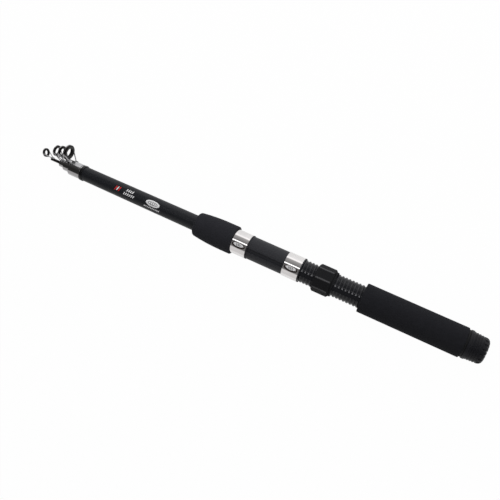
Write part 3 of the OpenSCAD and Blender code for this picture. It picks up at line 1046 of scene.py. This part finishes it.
@dataclass
class ReelSeat:
    """Seat tube, threaded barrel, the two hoods with their bright sleeves, and the lock nut."""

    pitch: float = 3.5 * MM
    thread_depth: float = 0.8 * MM
    thread_steps: int = 144
    thread_crease: float = 50
    keyway: float = 4 * MM
    keyway_wall: float = math.radians(0.4)
    barrel_gap: float = 0.05 * MM
    sleeve_wall: float = 0.4 * MM
    sleeve_edge: float = 0.15 * MM
    sleeve_steps: int = 160
    hump_radius: float = 8.3 * MM
    blend_power: float = 40
    nut_gap: float = 0.2 * MM
    nut_chamfer: float = 1.4 * MM
    chamfer_steps: int = 5
    end_inset: float = 0.35 * MM
    nut_sides: int = 8
    nut_steps: int = 160
    nut_corner: float = 14.3 * MM
    nut_clock: float = math.radians(18)
    nut_rounding: float = 1.6 * MM
    nut_crease: float = 20
    corner_crowding: float = 2.2
    wear_and_highlight_reach: float = math.radians(4)
    ring_gap: float = 0.15 * MM
    ring_edge: float = 0.3 * MM
    plaque_size: tuple[float, float] = (14.2 * MM, 6.2 * MM)
    plaque_turn: float = math.radians(3.5)
    rim_lift: float = 0.1 * MM
    face_share: tuple[float, float] = (0.78, 0.58)
    face_turn: float = math.radians(3)
    face_lift: float = 0.18 * MM
    stroke_count: int = 3
    stroke_step: float = 1.7 * MM
    stroke_size: tuple[float, float] = (0.75 * MM, 2.2 * MM)
    stroke_slant: float = 0.45
    stroke_lift: float = 0.21 * MM
    taper: Taper = Taper()
    barrel: Span = Span.of("threaded_barrel")
    nut: Span = Span.of("lock_nut")
    slip_ring: Span = Span.of("nut_ring")

    def build(self) -> None:
        """Makes and dresses the seat."""
        for node in ("seat_tube", "front_hood", "sliding_hood"):
            dress(node, SEAT_GLOSS)
        self._barrel()
        self._nut()
        self._slip_ring()
        for node, body in (("front_hood_ring", "handle"), ("sliding_hood_ring", "sliding_hood")):
            self._sleeve(node, body)
            self._plaque(node, body)

    def _barrel(self) -> None:
        """The threaded barrel, with its keyway."""
        root = self.barrel.radius - self.thread_depth
        half = math.asin(self.keyway / 2 / root)
        step = FULL_TURN / self.thread_steps
        mesh = threaded(self.barrel, self.pitch, self.thread_depth, self.thread_steps)
        for point in mesh.verts:
            angle = angle_round(point.co)
            past = abs(angle) - half
            if past < 0:
                if past > -step:
                    angle = math.copysign(half - self.keyway_wall, angle)
                set_polar(point.co, root, angle)
            elif past < step:
                set_polar(point.co, radius_round(point.co), math.copysign(half + self.keyway_wall, angle))
        close_to_bore(mesh, self.taper.radius_at(self.barrel.rear) + self.barrel_gap)
        piece(
            mesh, "fine_threaded_barrel", "handle", BARREL_GLOSS, ["threaded_barrel"],
            self.thread_crease,
        )

    def _nut_radius(self, angle: float) -> float:
        """Radius of the nut's flats and rounded corners.

        Args:
            angle: Angle from the nearest corner.

        Returns:
            The radius at that angle.
        """
        half = math.pi / self.nut_sides
        flat = self.nut_corner * math.cos(half)
        middle = (flat - self.nut_rounding) / math.cos(half)
        away = abs(angle)
        if away > math.atan2(self.nut_rounding * math.sin(half), middle + self.nut_rounding * math.cos(half)):
            return flat / math.cos(half - away)
        return middle * math.cos(away) + math.sqrt(self.nut_rounding**2 - (middle * math.sin(away)) ** 2)

    def _nut(self) -> None:
        """The eight-sided lock nut, with turned chamfers and eased corners."""
        bore = self.barrel.radius + self.nut_gap
        rim = self.nut_corner
        end_radius = rim * math.cos(math.pi / self.nut_sides) - self.end_inset
        stations = [self.nut_chamfer * i / self.chamfer_steps for i in range(self.chamfer_steps + 1)]
        skin = [self.nut.rear + s for s in stations] + [self.nut.front - s for s in reversed(stations)]
        mesh = turn(
            [(self.nut.rear, bore), *[(x, rim) for x in skin], (self.nut.front, bore)], self.nut_steps
        )
        sector = FULL_TURN / self.nut_sides
        slope = (rim - end_radius) / self.nut_chamfer
        wear_and_highlight = mesh.verts.layers.float.new(NUT_MATT.mark)
        for point in mesh.verts:
            angle = angle_round(point.co)
            corner = round(angle / sector) * sector
            spread = abs(2 * (angle - corner) / sector) ** self.corner_crowding
            angle = math.copysign(spread * sector / 2, angle - corner)
            radius = radius_round(point.co)
            if radius > (bore + rim) / 2:
                inwards = min(point.co.x - self.nut.rear, self.nut.front - point.co.x)
                side = self._nut_radius(angle)
                chamfer = end_radius + slope * inwards
                radius = min(side, chamfer)
                # Pale band along each corner: partly wear, partly a painted highlight.
                point[wear_and_highlight] = max(0.0, 1 - abs(angle) / self.wear_and_highlight_reach) * (side <= chamfer)
            set_polar(point.co, radius, corner + angle + self.nut_clock)
        face_outwards(mesh)
        piece(
            mesh, "chamfered_lock_nut", "lock_nut", NUT_MATT, ["lock_nut"], self.nut_crease
        )

    def _slip_ring(self) -> None:
        """The thin ring behind the nut."""
        mesh = turn(tube_outline(self.slip_ring, self.barrel.radius + self.ring_gap))
        soften(mesh, self.ring_edge)
        piece(mesh, "eased_slip_ring", "nut_ring", NUT_MATT, ["nut_ring"])

    def _hood_radius(self, angle: float, round_radius: float, hump_depth: float) -> float:
        """Outer radius of a hood, which swells over the reel foot.

        Args:
            angle: Angle about the rod, from the keyway side.
            round_radius: Radius of the round part.
            hump_depth: Depth of the middle of the hump below the axis.

        Returns:
            The radius at that angle.
        """
        along = -math.cos(angle) * hump_depth
        hump = along + math.sqrt(along * along - hump_depth**2 + self.hump_radius**2)
        power = self.blend_power
        return (round_radius**power + hump**power) ** (1 / power)

    def _sleeve(self, node: str, body: str) -> None:
        """The bright sleeve of a hood.

        Args:
            node: Node that the sleeve stands for.
            body: Body that it rides on.
        """
        span = Span.of(node)
        hump_depth = -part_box(node)[0].z - self.hump_radius
        mesh = bmesh.new()
        start = Matrix.Translation((span.rear, 0, 0)) @ Matrix.Rotation(FULL_TURN / 4, 4, "Y")
        bmesh.ops.create_circle(mesh, radius=span.radius, segments=self.sleeve_steps, matrix=start)
        for point in mesh.verts:
            angle = angle_round(point.co)
            set_polar(point.co, self._hood_radius(angle, span.radius, hump_depth), angle)
        far, _ = extruded(mesh, mesh.edges[:])
        bmesh.ops.translate(mesh, verts=far, vec=AXIS * span.length)
        tidy(mesh)
        bmesh.ops.solidify(mesh, geom=mesh.faces[:], thickness=self.sleeve_wall)
        face_outwards(mesh)
        soften(mesh, self.sleeve_edge, segments=2)
        piece(mesh, node.replace("ring", "sleeve"), body, BRIGHT_METAL, [node])

    def _plaque(self, node: str, body: str) -> None:
        """An oval plaque on the keyway side of a sleeve: dark rim, bright face and a few plain strokes.

        Args:
            node: Node of the sleeve.
            body: Body that it rides on.
        """
        span = Span.of(node)
        middle = (span.rear + span.front) / 2
        face_size = [size * share for size, share in zip(self.plaque_size, self.face_share)]
        marks = strokes(self.stroke_count, self.stroke_step, self.stroke_size, self.stroke_slant)
        for name, mesh, lift, turned, finish in (
            ("rim", oval(*self.plaque_size), self.rim_lift, 0.0, PLAQUE_EDGE),
            ("face", oval(*face_size), self.face_lift, self.face_turn, PLAQUE_FACE),
            ("strokes", marks, self.stroke_lift, self.face_turn, PLAQUE_EDGE),
        ):
            wrap(mesh, middle, lambda x: span.radius + lift, self.plaque_turn + turned)
            thicken(mesh, lift)
            piece(mesh, f"{node}_plaque_{name}", body, finish)


@dataclass
class ButtCap:
    """The screw cap at the butt, with its gasket and pad."""

    radius: float = 13.6 * MM
    end_radius: float = 12.8 * MM
    edge: float = 4.2 * MM
    edge_steps: int = 12
    flange: float = 3 * MM
    flange_edge: float = 0.6 * MM
    flange_steps: int = 5
    groove_step: float = 2.5 * MM
    groove_width: float = 1 * MM
    groove_depth: float = 0.5 * MM
    groove_lip: float = 0.22 * MM
    grooves: int = 4
    flutes: int = 16
    flute_steps: int = 16
    flute_radius: float = 1.1 * MM
    flute_length: float = 5 * MM
    flute_run_out: float = 0.5 * MM
    notch_share: float = 0.8
    dish_radius: float = 7.2 * MM
    dish_depth: float = 0.5 * MM
    body_crease: float = 32
    plug_radius: float = 6.8 * MM
    plug_bore: float = 2 * MM
    plug_pitch: float = 2 * MM
    plug_thread: float = 0.45 * MM
    plug_crease: float = 50
    gasket_gap: float = 0.1 * MM
    gasket_edge: float = 0.35 * MM
    gasket: Span = Span.of("cap_gasket")
    cap: Span = Span.of("butt_cap")

    def build(self) -> None:
        """Makes and dresses the cap."""
        dress("cap_pad", CAP_RUBBER)
        dress("butt_bushing", SOCKET_METAL)
        self._body()
        self._plug()
        self._gasket()

    def _gasket(self) -> None:
        """The sealing ring, eased round its outside alone."""
        bore = self.plug_radius + self.gasket_gap
        halfway = (bore + self.gasket.radius) / 2
        ring = turn(tube_outline(self.gasket, bore), LARGE_STEPS)
        soften(ring, self.gasket_edge, chosen=lambda middle: radius_round(middle) > halfway)
        piece(ring, "eased_gasket", "cap_gasket", CAP_RUBBER, ["cap_gasket"])

    def _side(self, x: float) -> float:
        """Radius of the cap's tapered side.

        Args:
            x: Station along the rod.

        Returns:
            The radius there.
        """
        start = self.cap.rear + self.edge
        share = (x - start) / (self.gasket.rear - self.flange - start)
        return self.end_radius + (self.radius - self.end_radius) * share

    def _outline(self) -> Outline:
        """Outline of the cap's body, from the middle of its end to its front face.

        Returns:
            Station and radius of each corner.
        """
        rear, front, rim = self.cap.rear, self.gasket.rear, self.cap.radius
        lip, ease = self.groove_lip, self.flange_edge
        dish = rear + self.dish_depth
        points = [(dish, 0.0), (dish, self.dish_radius - self.dish_depth), (rear, self.dish_radius)]
        points += arc(rear + self.edge, self.end_radius - self.edge, self.edge, -90, 0, self.edge_steps)
        flute_end = rear + self.flute_length
        points += [(x, self._side(x)) for x in (flute_end - self.flute_run_out, flute_end)]
        flange_x = front - self.flange
        for i in range(self.grooves, 0, -1):
            near = flange_x - i * self.groove_step
            far = near + self.groove_width
            high = self._side(far)
            low = high - self.groove_depth
            points += [
                (near - lip, high), (near, high - lip), (near + lip / 2, low),
                (far - lip / 2, low), (far, high - lip), (far + lip, high),
            ]
        points.append((flange_x - lip, self.radius))
        points += arc(flange_x + ease, rim - ease, ease, -90, 0, self.flange_steps)
        points += arc(front - ease, rim - ease, ease, 0, 90, self.flange_steps)
        return [*points, (front, 0.0)]

    def _body(self) -> None:
        """The cap's body, with turned grooves and finger flutes."""
        mesh = turn(self._outline(), self.flutes * self.flute_steps, closed=False)
        sector = FULL_TURN / self.flutes
        fluted_to = self.cap.rear + self.flute_length - self.flute_run_out / 2
        for point in mesh.verts:
            angle = angle_round(point.co)
            aside = abs((angle + sector / 2) % sector - sector / 2)
            reach = self.end_radius * math.sin(aside)
            if point.co.x < fluted_to and reach < self.flute_radius:
                radius = radius_round(point.co)
                depth = math.sqrt(self.flute_radius**2 - reach**2)
                inset = min(1.0, max(0.0, (radius - self.dish_radius) / self.flute_radius))
                away = max(0.0, 1 - (point.co.x - self.cap.rear) / self.edge)
                point.co.x += self.notch_share * depth * inset * away
                set_polar(point.co, min(radius, self.end_radius * math.cos(aside) - depth), angle)
        face_outwards(mesh)
        piece(mesh, "fluted_cap", "butt_cap", CAP_GLOSS, ["butt_cap"], self.body_crease)

    def _plug(self) -> None:
        """The threaded plug of the cap."""
        span = Span(self.gasket.rear, self.cap.front, self.plug_radius)
        mesh = threaded(span, self.plug_pitch, self.plug_thread, SMALL_STEPS)
        close_to_bore(mesh, self.plug_bore)
        piece(mesh, "threaded_plug", "butt_cap", CAP_GLOSS, crease=self.plug_crease)


@dataclass(frozen=True)
class Collar:
    """A rolled metal collar: its node, the body that it rides on, its wall and its finish."""

    node: str
    body: str
    wall: float
    finish: Finish = COLLAR_METAL


@dataclass
class Telescope:
    """The blank, the sliding sections and their bright collars."""

    wrap_length: float = 2.6 * MM
    wrap_thickness: float = 0.7 * MM
    wrap_edge: float = 0.35 * MM
    wrap_steps: int = 5
    wrap_wall: float = 1.2 * MM
    skin: float = 0.05 * MM
    lip: float = 0.28 * MM
    lip_share: float = 0.45
    lip_steps: int = 4
    taper: Taper = Taper()
    collars: Sequence[Collar] = (
        Collar("section_2_collar", "guide_2", 1.1 * MM),
        Collar("section_3_collar", "guide_3", 0.65 * MM),
        Collar("section_4_collar", "guide_4", 0.6 * MM),
        Collar("tip_top_tube", "tip_top", 0.4 * MM, SMOKED_STEEL),
    )

    def build(self) -> None:
        """Makes and dresses the telescope."""
        for node in ("butt_blank", "section_2_tube", "section_3_tube", "section_4_tube", "tip_rod"):
            dress(node, BLANK_COAT)
        self._mouth_wrap()
        for collar in self.collars:
            self._collar(collar)

    def _mouth_wrap(self) -> None:
        """The glossy wrap round the blank's mouth, a thin skin proud of the blank's own."""
        front = self.taper.blank.front
        rear = front - self.wrap_length
        face = front + self.skin
        outer = self.taper.radius_at(rear) + self.wrap_thickness + self.skin
        bore = outer - self.wrap_wall
        ease = self.wrap_edge
        mesh = turn([
            (rear - ease, outer - self.wrap_thickness - ease),
            *arc(rear, outer - ease, ease, -90, 0, self.wrap_steps),
            *arc(face - ease, outer - ease, ease, 0, 90, self.wrap_steps),
            (face, bore), (rear + ease, bore),
        ], LARGE_STEPS)
        piece(mesh, "mouth_wrap", "handle", WRAP_GLOSS)

    def _collar(self, collar: Collar) -> None:
        """Makes a collar with rolled lips.

        Args:
            collar: The collar.
        """
        span = Span.of(collar.node)
        mesh = turn(tube_outline(span, span.radius - collar.wall))
        soften(mesh, min(self.lip, self.lip_share * collar.wall), self.lip_steps)
        piece(mesh, f"rolled_{collar.node}", collar.body, collar.finish, [collar.node])


@dataclass
class Guide:
    """One line guide: a steel frame on wire legs round a hard ring."""

    name: str
    collar: str
    lean: float
    thickness: float
    wire: float
    foot_length: float
    leg_back: float
    ring_radius: float
    band: float = 0.5 * MM
    band_share: float = 0.7
    band_edge: float = 0.14 * MM
    rim_share: float = 0.24
    rim_ahead: float = 0.03 * MM
    rim_proud: float = 0.06 * MM
    foot_gap: float = 0.04 * MM
    foot_plate: float = 0.46 * MM
    foot_edge: float = 0.12 * MM
    foot_wrap: float = math.radians(40)
    leg_spread: float = math.radians(28)
    leg_outset: float = 0.2
    toe_reach: float = 2.2
    bend_before: float = 0.6
    bend_after: float = 1.2
    bend_most: float = 0.3

    def build(self) -> None:
        """Makes the frame and dresses the ring."""
        insert = f"{self.name}_insert"
        dress(insert, HARD_RING)
        low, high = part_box(insert)
        middle = (low + high) / 2
        ring = Vector((middle.x, 0, radius_round(middle)))
        collar = Span.of(self.collar)
        half = self.thickness * self.band_share / 2
        rim = self._band(ring, half - self.thickness * self.rim_share, half + self.rim_ahead, self.rim_proud)
        legs = join(self._wires(ring, collar), self._foot(collar), rim)
        band = self._band(ring, -half, half, 0)
        turned = Matrix.Rotation(angle_round(middle), 3, "X")
        for mesh in (legs, band):
            bmesh.ops.rotate(mesh, cent=ORIGIN, matrix=turned, verts=mesh.verts)
        piece(legs, f"wire_{self.name}", self.name, GUIDE_STEEL, [f"{self.name}_frame"])
        piece(band, f"band_{self.name}", self.name, SMOKED_STEEL)

    def _band(self, ring: Vector, rear: float, front: float, proud: float) -> Mesh:
        """A band round the hard ring, with eased edges.

        Args:
            ring: Middle of the ring.
            rear: Its rear edge, from the middle of the ring.
            front: Its front edge, from the middle of the ring.
            proud: How far it stands out past the ring's own radius.

        Returns:
            The band.
        """
        span = Span(rear, front, self.ring_radius + proud)
        mesh = turn(tube_outline(span, self.ring_radius - self.band), SMALL_STEPS)
        soften(mesh, self.band_edge)
        mesh.transform(Matrix.Translation(ring) @ Matrix.Rotation(self.lean, 4, "Y"))
        return mesh

    def _wires(self, ring: Vector, collar: Span) -> Mesh:
        """The two side legs and the front stay, bent up from the collar.

        Args:
            ring: Middle of the ring.
            collar: Span of the collar.

        Returns:
            The wires.
        """
        mesh = bmesh.new()
        seat = collar.radius + self.wire / 2 + self.foot_gap
        across, above = seat * math.sin(self.leg_spread), seat * math.cos(self.leg_spread)
        for side in (-1, 1):
            heel = Vector((collar.front - self.leg_back, side * across, above))
            top = Vector((ring.x, side * (self.ring_radius + self.leg_outset * self.wire), ring.z))
            self._bent(mesh, heel, top)
        stay = self.ring_radius - self.band / 2
        top = ring - stay * Vector((math.sin(self.lean), 0, math.cos(self.lean)))
        self._bent(mesh, Vector((collar.front - self.wire, 0, seat)), top)
        face_outwards(mesh)
        return mesh

    def _bent(self, mesh: Mesh, heel: Vector, top: Vector) -> None:
        """One wire that runs along the collar and bends up to the ring.

        Args:
            mesh: Mesh to add the wire to.
            heel: Where the bend is.
            top: Where the wire ends.
        """
        rise = top - heel
        after = min(self.bend_after * self.wire, self.bend_most * rise.length)
        toe = heel - AXIS * min(self.toe_reach * self.wire, self.foot_length - self.leg_back)
        before = heel - AXIS * self.bend_before * self.wire
        sweep(mesh, bend(toe, before, heel, heel + rise.normalized() * after, top), self.wire / 2)

    def _foot(self, collar: Span) -> Mesh:
        """The plate that is brazed to the collar.

        Args:
            collar: Span of the collar.

        Returns:
            The plate.
        """
        mesh = sheet(self.foot_length, 2 * self.foot_wrap * collar.radius, 12, 16)
        radius = collar.radius + self.foot_plate + self.foot_gap
        wrap(mesh, collar.front - self.foot_length / 2, lambda x: radius, 0)
        thicken(mesh, self.foot_plate)
        soften(mesh, self.foot_edge, segments=2)
        return mesh


@dataclass
class Guides:
    """The guides of the four sliding sections."""

    guides: Sequence[Guide] = (
        Guide(
            "guide_2", "section_2_collar", lean=0.0, thickness=3.8 * MM, wire=1.3 * MM,
            foot_length=13 * MM, leg_back=1.7 * MM, ring_radius=8.2 * MM,
        ),
        Guide(
            "guide_3", "section_3_collar", lean=math.radians(3), thickness=2.6 * MM, wire=1.1 * MM,
            foot_length=7 * MM, leg_back=0.7 * MM, ring_radius=6.3 * MM,
        ),
        Guide(
            "guide_4", "section_4_collar", lean=0.0, thickness=2.8 * MM, wire=1.0 * MM,
            foot_length=5.2 * MM, leg_back=0.7 * MM, ring_radius=6 * MM,
        ),
        Guide(
            "tip_top", "tip_top_tube", lean=math.radians(20), thickness=2.6 * MM, wire=0.9 * MM,
            foot_length=4 * MM, leg_back=1 * MM, ring_radius=4.7 * MM,
        ),
    )

    def build(self) -> None:
        """Makes every guide."""
        for guide in self.guides:
            guide.build()


@dataclass(frozen=True)
class Mark:
    """A plain printed mark: an oval, or a row of slanted strokes where it has a count."""

    name: str
    station: float
    size: tuple[float, float]
    ink: Finish
    layer: int = 1
    below: float = 0.0
    count: int = 0
    step: float = 0.0
    slant: float = -0.35

    def shape(self) -> Mesh:
        """The mark as a flat shape about the origin.

        Returns:
            The shape.
        """
        if self.count:
            return strokes(self.count, self.step, self.size, self.slant)
        return oval(*self.size)


BADGE_AT = 282.2 * MM
ROWS_AT = 311 * MM
BARS_AT = 325.4 * MM
TICK = (1.2 * MM, 1.6 * MM)
SHORT_BAR = (1.2 * MM, 2.7 * MM)
LONG_BAR = (1.3 * MM, 4.6 * MM)


@dataclass
class BlankPrint:
    """Plain printed marks on the blank: an oval badge and rows of short bars, without lettering."""

    turned: float = math.radians(18)
    film: float = 0.03 * MM
    film_share: float = 0.8
    taper: Taper = Taper()
    marks: Sequence[Mark] = (
        Mark("badge", BADGE_AT, (16.4 * MM, 6.6 * MM), PRINT_WHITE),
        Mark("badge_line", BADGE_AT, (11.4 * MM, 3.6 * MM), WRAP_GLOSS, layer=2),
        Mark("badge_field", BADGE_AT, (10.2 * MM, 2.5 * MM), PRINT_WHITE, layer=3),
        Mark("badge_strokes", BADGE_AT, (0.8 * MM, 1.5 * MM), WRAP_GLOSS, layer=4, count=3, step=2.2 * MM),
        Mark("ticks", BADGE_AT, TICK, PRINT_WHITE, below=5 * MM, count=10, step=1.9 * MM),
        Mark("upper_row", ROWS_AT, SHORT_BAR, PRINT_WHITE, below=-2 * MM, count=4, step=2.3 * MM),
        Mark("lower_row", ROWS_AT, SHORT_BAR, PRINT_WHITE, below=2 * MM, count=6, step=2.3 * MM),
        Mark("red_bars", BARS_AT, LONG_BAR, PRINT_RED, count=2, step=4.4 * MM),
        Mark("white_bar", BARS_AT, LONG_BAR, PRINT_WHITE, count=1),
    )

    def build(self) -> None:
        """Prints every mark."""
        for mark in self.marks:
            self._print(mark)

    def _print(self, mark: Mark) -> None:
        """Lays one mark on the blank, on top of the layers of film below it.

        Args:
            mark: The mark.
        """
        mesh = mark.shape()
        turned = self.turned - mark.below / self.taper.front_radius
        wrap(mesh, mark.station, lambda x: self.taper.radius_at(x) + mark.layer * self.film, turned)
        thicken(mesh, self.film_share * self.film)
        piece(mesh, f"print_{mark.name}", "handle", mark.ink)


@dataclass(frozen=True)
class Lamp:
    """A panel lamp that runs along the rod: where its middle is, its size and its power in watts."""

    name: str
    station: float
    size: tuple[float, float]
    power: float
    mirrored: bool


@dataclass
class Studio:
    """Floor, light and camera.

    The panels are pairs of an angle about the rod in degrees, from the side that faces the camera, and the
    brightness there.
    """

    aim: float = 171 * MM
    distance: float = 0.635
    lens: float = 45.72
    sensor: float = 36
    nearest: float = 0.01
    tilt: float = math.radians(14)
    slant: float = math.radians(24.1)
    roll: float = math.radians(18)
    raised: float = 2.7 * MM
    soft_key: Lamp = Lamp("soft_key", 171 * MM, (1.1, 0.8), 5.0, mirrored=False)
    key_up: float = 0.6
    key_back: float = 0.8
    seat_strip: Lamp = Lamp("seat_strip", 300 * MM, (0.8, 0.14), 0.6, mirrored=True)
    strip_turn: float = math.radians(6)
    lamp_distance: float = 0.9
    floor_level: float = -14.8 * MM
    floor_reach: float = 6
    floor_grey: Colour = (0.9, 0.9, 0.9)
    floor_glow: float = 0.985
    mirrored_glow: float = 0.6
    sky: float = 1.08
    gap_below: float = 0.5
    end_gap: float = 0.3
    end_from: float = 0.3
    end_to: float = 0.45
    warmth: float = 0.985
    panels: Sequence[tuple[float, float]] = (
        (-180, 0.56), (-110, 0.58), (-64, 0.6), (-54, 0.14), (-10, 0.1), (15, 0.17), (52, 0.34),
        (60, 0.98), (180, 1.0),
    )

    def __post_init__(self) -> None:
        """Works out right, up and back in the picture, and the ways out of and over the near side."""
        about = Matrix.Rotation(self.roll, 3, "X")
        back = Vector((-math.sin(self.tilt), 0, math.cos(self.tilt)))
        along = Vector((math.cos(self.tilt), 0, math.sin(self.tilt)))
        across = Vector((0, 1, 0))
        right = -math.cos(self.slant) * along - math.sin(self.slant) * across
        up = math.sin(self.slant) * along - math.cos(self.slant) * across
        self.back, self.right, self.up = about @ back, about @ right, about @ up
        self.out, self.over = about @ Vector((0, 0, 1)), about @ -across

    def build(self) -> None:
        """Sets up the whole studio."""
        self._floor()
        self._world()
        self._hang(self.soft_key, self.up * self.key_up + self.back * self.key_back)
        strip = math.cos(self.strip_turn) * self.out + math.sin(self.strip_turn) * self.over
        self._hang(self.seat_strip, strip)
        self._camera()
        bpy.context.scene.view_settings.view_transform = "Standard"

    def _floor(self) -> None:
        """A wide white floor that keeps the rod's shadow."""
        mesh = bmesh.new()
        bmesh.ops.create_grid(mesh, x_segments=1, y_segments=1, size=self.floor_reach)
        bmesh.ops.translate(mesh, verts=mesh.verts, vec=(0, 0, self.floor_level))
        floor = add("floor", to_data(mesh, "floor"))
        material = bpy.data.materials.new("white_floor")
        material.use_nodes = True
        graph = Graph(material.node_tree)
        paths = graph.node("ShaderNodeLightPath")
        mirrored = graph.out(paths, "Is Glossy Ray").larger(graph.out(paths, "Is Transmission Ray"))
        seen = (graph.out(paths, "Is Camera Ray") * self.floor_glow).larger(mirrored * self.mirrored_glow)
        paper = graph.node("ShaderNodeBsdfDiffuse", inputs={"Color": self.floor_grey})
        glow = graph.node("ShaderNodeEmission", inputs={"Color": WHITE, "Strength": 1.0})
        mixed = graph.node("ShaderNodeMixShader", inputs={
            0: seen, 1: paper.outputs["BSDF"], 2: glow.outputs["Emission"]
        })
        graph.node("ShaderNodeOutputMaterial", inputs={"Surface": mixed.outputs["Shader"]})
        floor.data.materials.append(material)
        log.info("floor is laid at %.4f m", self.floor_level)

    def _world(self) -> None:
        """Long pale panels round the rod, with a dim gap where the camera looks in, dimmer past the tip."""
        world = bpy.data.worlds.new("tent")
        bpy.context.scene.world = world
        world.use_nodes = True
        graph = Graph(world.node_tree)
        heading = graph.node("ShaderNodeTexCoord").outputs["Generated"]
        parts = [
            graph.node("ShaderNodeVectorMath", {"operation": "DOT_PRODUCT"}, {0: heading, 1: way})
            for way in (self.over, self.out, AXIS)
        ]
        over, out, ahead = [graph.out(part, "Value") for part in parts]
        around = over.angle_from(out) / FULL_TURN + 0.5
        beside, beyond = [
            graph.node("ShaderNodeValToRGB", {"stops": self._stops(gap)}, {"Fac": around}).outputs["Color"]
            for gap in (1, self.end_gap)
        ]
        tent = graph.blend(graph.rise(ahead, self.end_from, self.end_to), beside, beyond)
        sky = graph.node("ShaderNodeBackground", inputs={"Color": tent, "Strength": self.sky})
        plain = graph.node("ShaderNodeBackground", inputs={"Color": WHITE, "Strength": self.floor_glow})
        seen = graph.out(graph.node("ShaderNodeLightPath"), "Is Camera Ray")
        both = graph.node("ShaderNodeMixShader", inputs={
            0: seen, 1: sky.outputs["Background"], 2: plain.outputs["Background"]
        })
        graph.node("ShaderNodeOutputWorld", inputs={"Surface": both.outputs["Shader"]})

    def _stops(self, gap: float) -> list[tuple[float, Colour]]:
        """Stops of the panels' brightness round the rod.

        Args:
            gap: How bright the dim gap is against its usual level.

        Returns:
            Place and colour of each stop.
        """
        stops = []
        for angle, grey in self.panels:
            level = grey * gap if grey < self.gap_below else grey
            stops.append((angle / 360 + 0.5, (level, self.warmth * level, self.warmth * level)))
        return stops

    def _hang(self, lamp: Lamp, direction: Vector) -> None:
        """Hangs one lamp so that it faces the rod.

        Args:
            lamp: The lamp.
            direction: Way from the rod to the lamp.
        """
        data = bpy.data.lights.new(lamp.name, "AREA")
        data.shape = "RECTANGLE"
        data.size, data.size_y = lamp.size
        data.energy = lamp.power
        hung = add(lamp.name, data)
        hung.visible_glossy = lamp.mirrored
        heading = direction.normalized()
        side = heading.cross(AXIS).normalized()
        turned = Matrix((side.cross(heading), side, heading)).transposed().to_4x4()
        place = AXIS * lamp.station + heading * self.lamp_distance
        hung.matrix_world = Matrix.Translation(place) @ turned
        log.info("%s gives %.1f W", lamp.name, lamp.power)

    def _camera(self) -> None:
        """The camera, at the photo's angle."""
        data = bpy.data.cameras.new("camera")
        data.lens = self.lens
        data.sensor_width = self.sensor
        data.dof.use_dof = False
        data.clip_start = self.nearest
        camera = add("camera", data)
        place = AXIS * self.aim + self.back * self.distance - self.up * self.raised
        turned = Matrix((self.right, self.up, self.back)).transposed().to_4x4()
        camera.matrix_world = Matrix.Translation(place) @ turned
        bpy.context.scene.camera = camera
        log.info("camera stands at %s", tuple(round(c, 4) for c in place))


def write_size() -> None:
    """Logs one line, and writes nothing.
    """
    log.info("size is written")


def main() -> None:
    """Dresses the whole rod and sets up the studio."""
    logging.basicConfig(level=logging.INFO, format="%(name)s: %(message)s")
    for part in (Grips(), ReelSeat(), ButtCap(), Telescope(), Guides(), BlankPrint(), Studio()):
        part.build()
        log.info("%s is built", type(part).__name__)
    write_size()


if __name__ == "__main__":
    main()
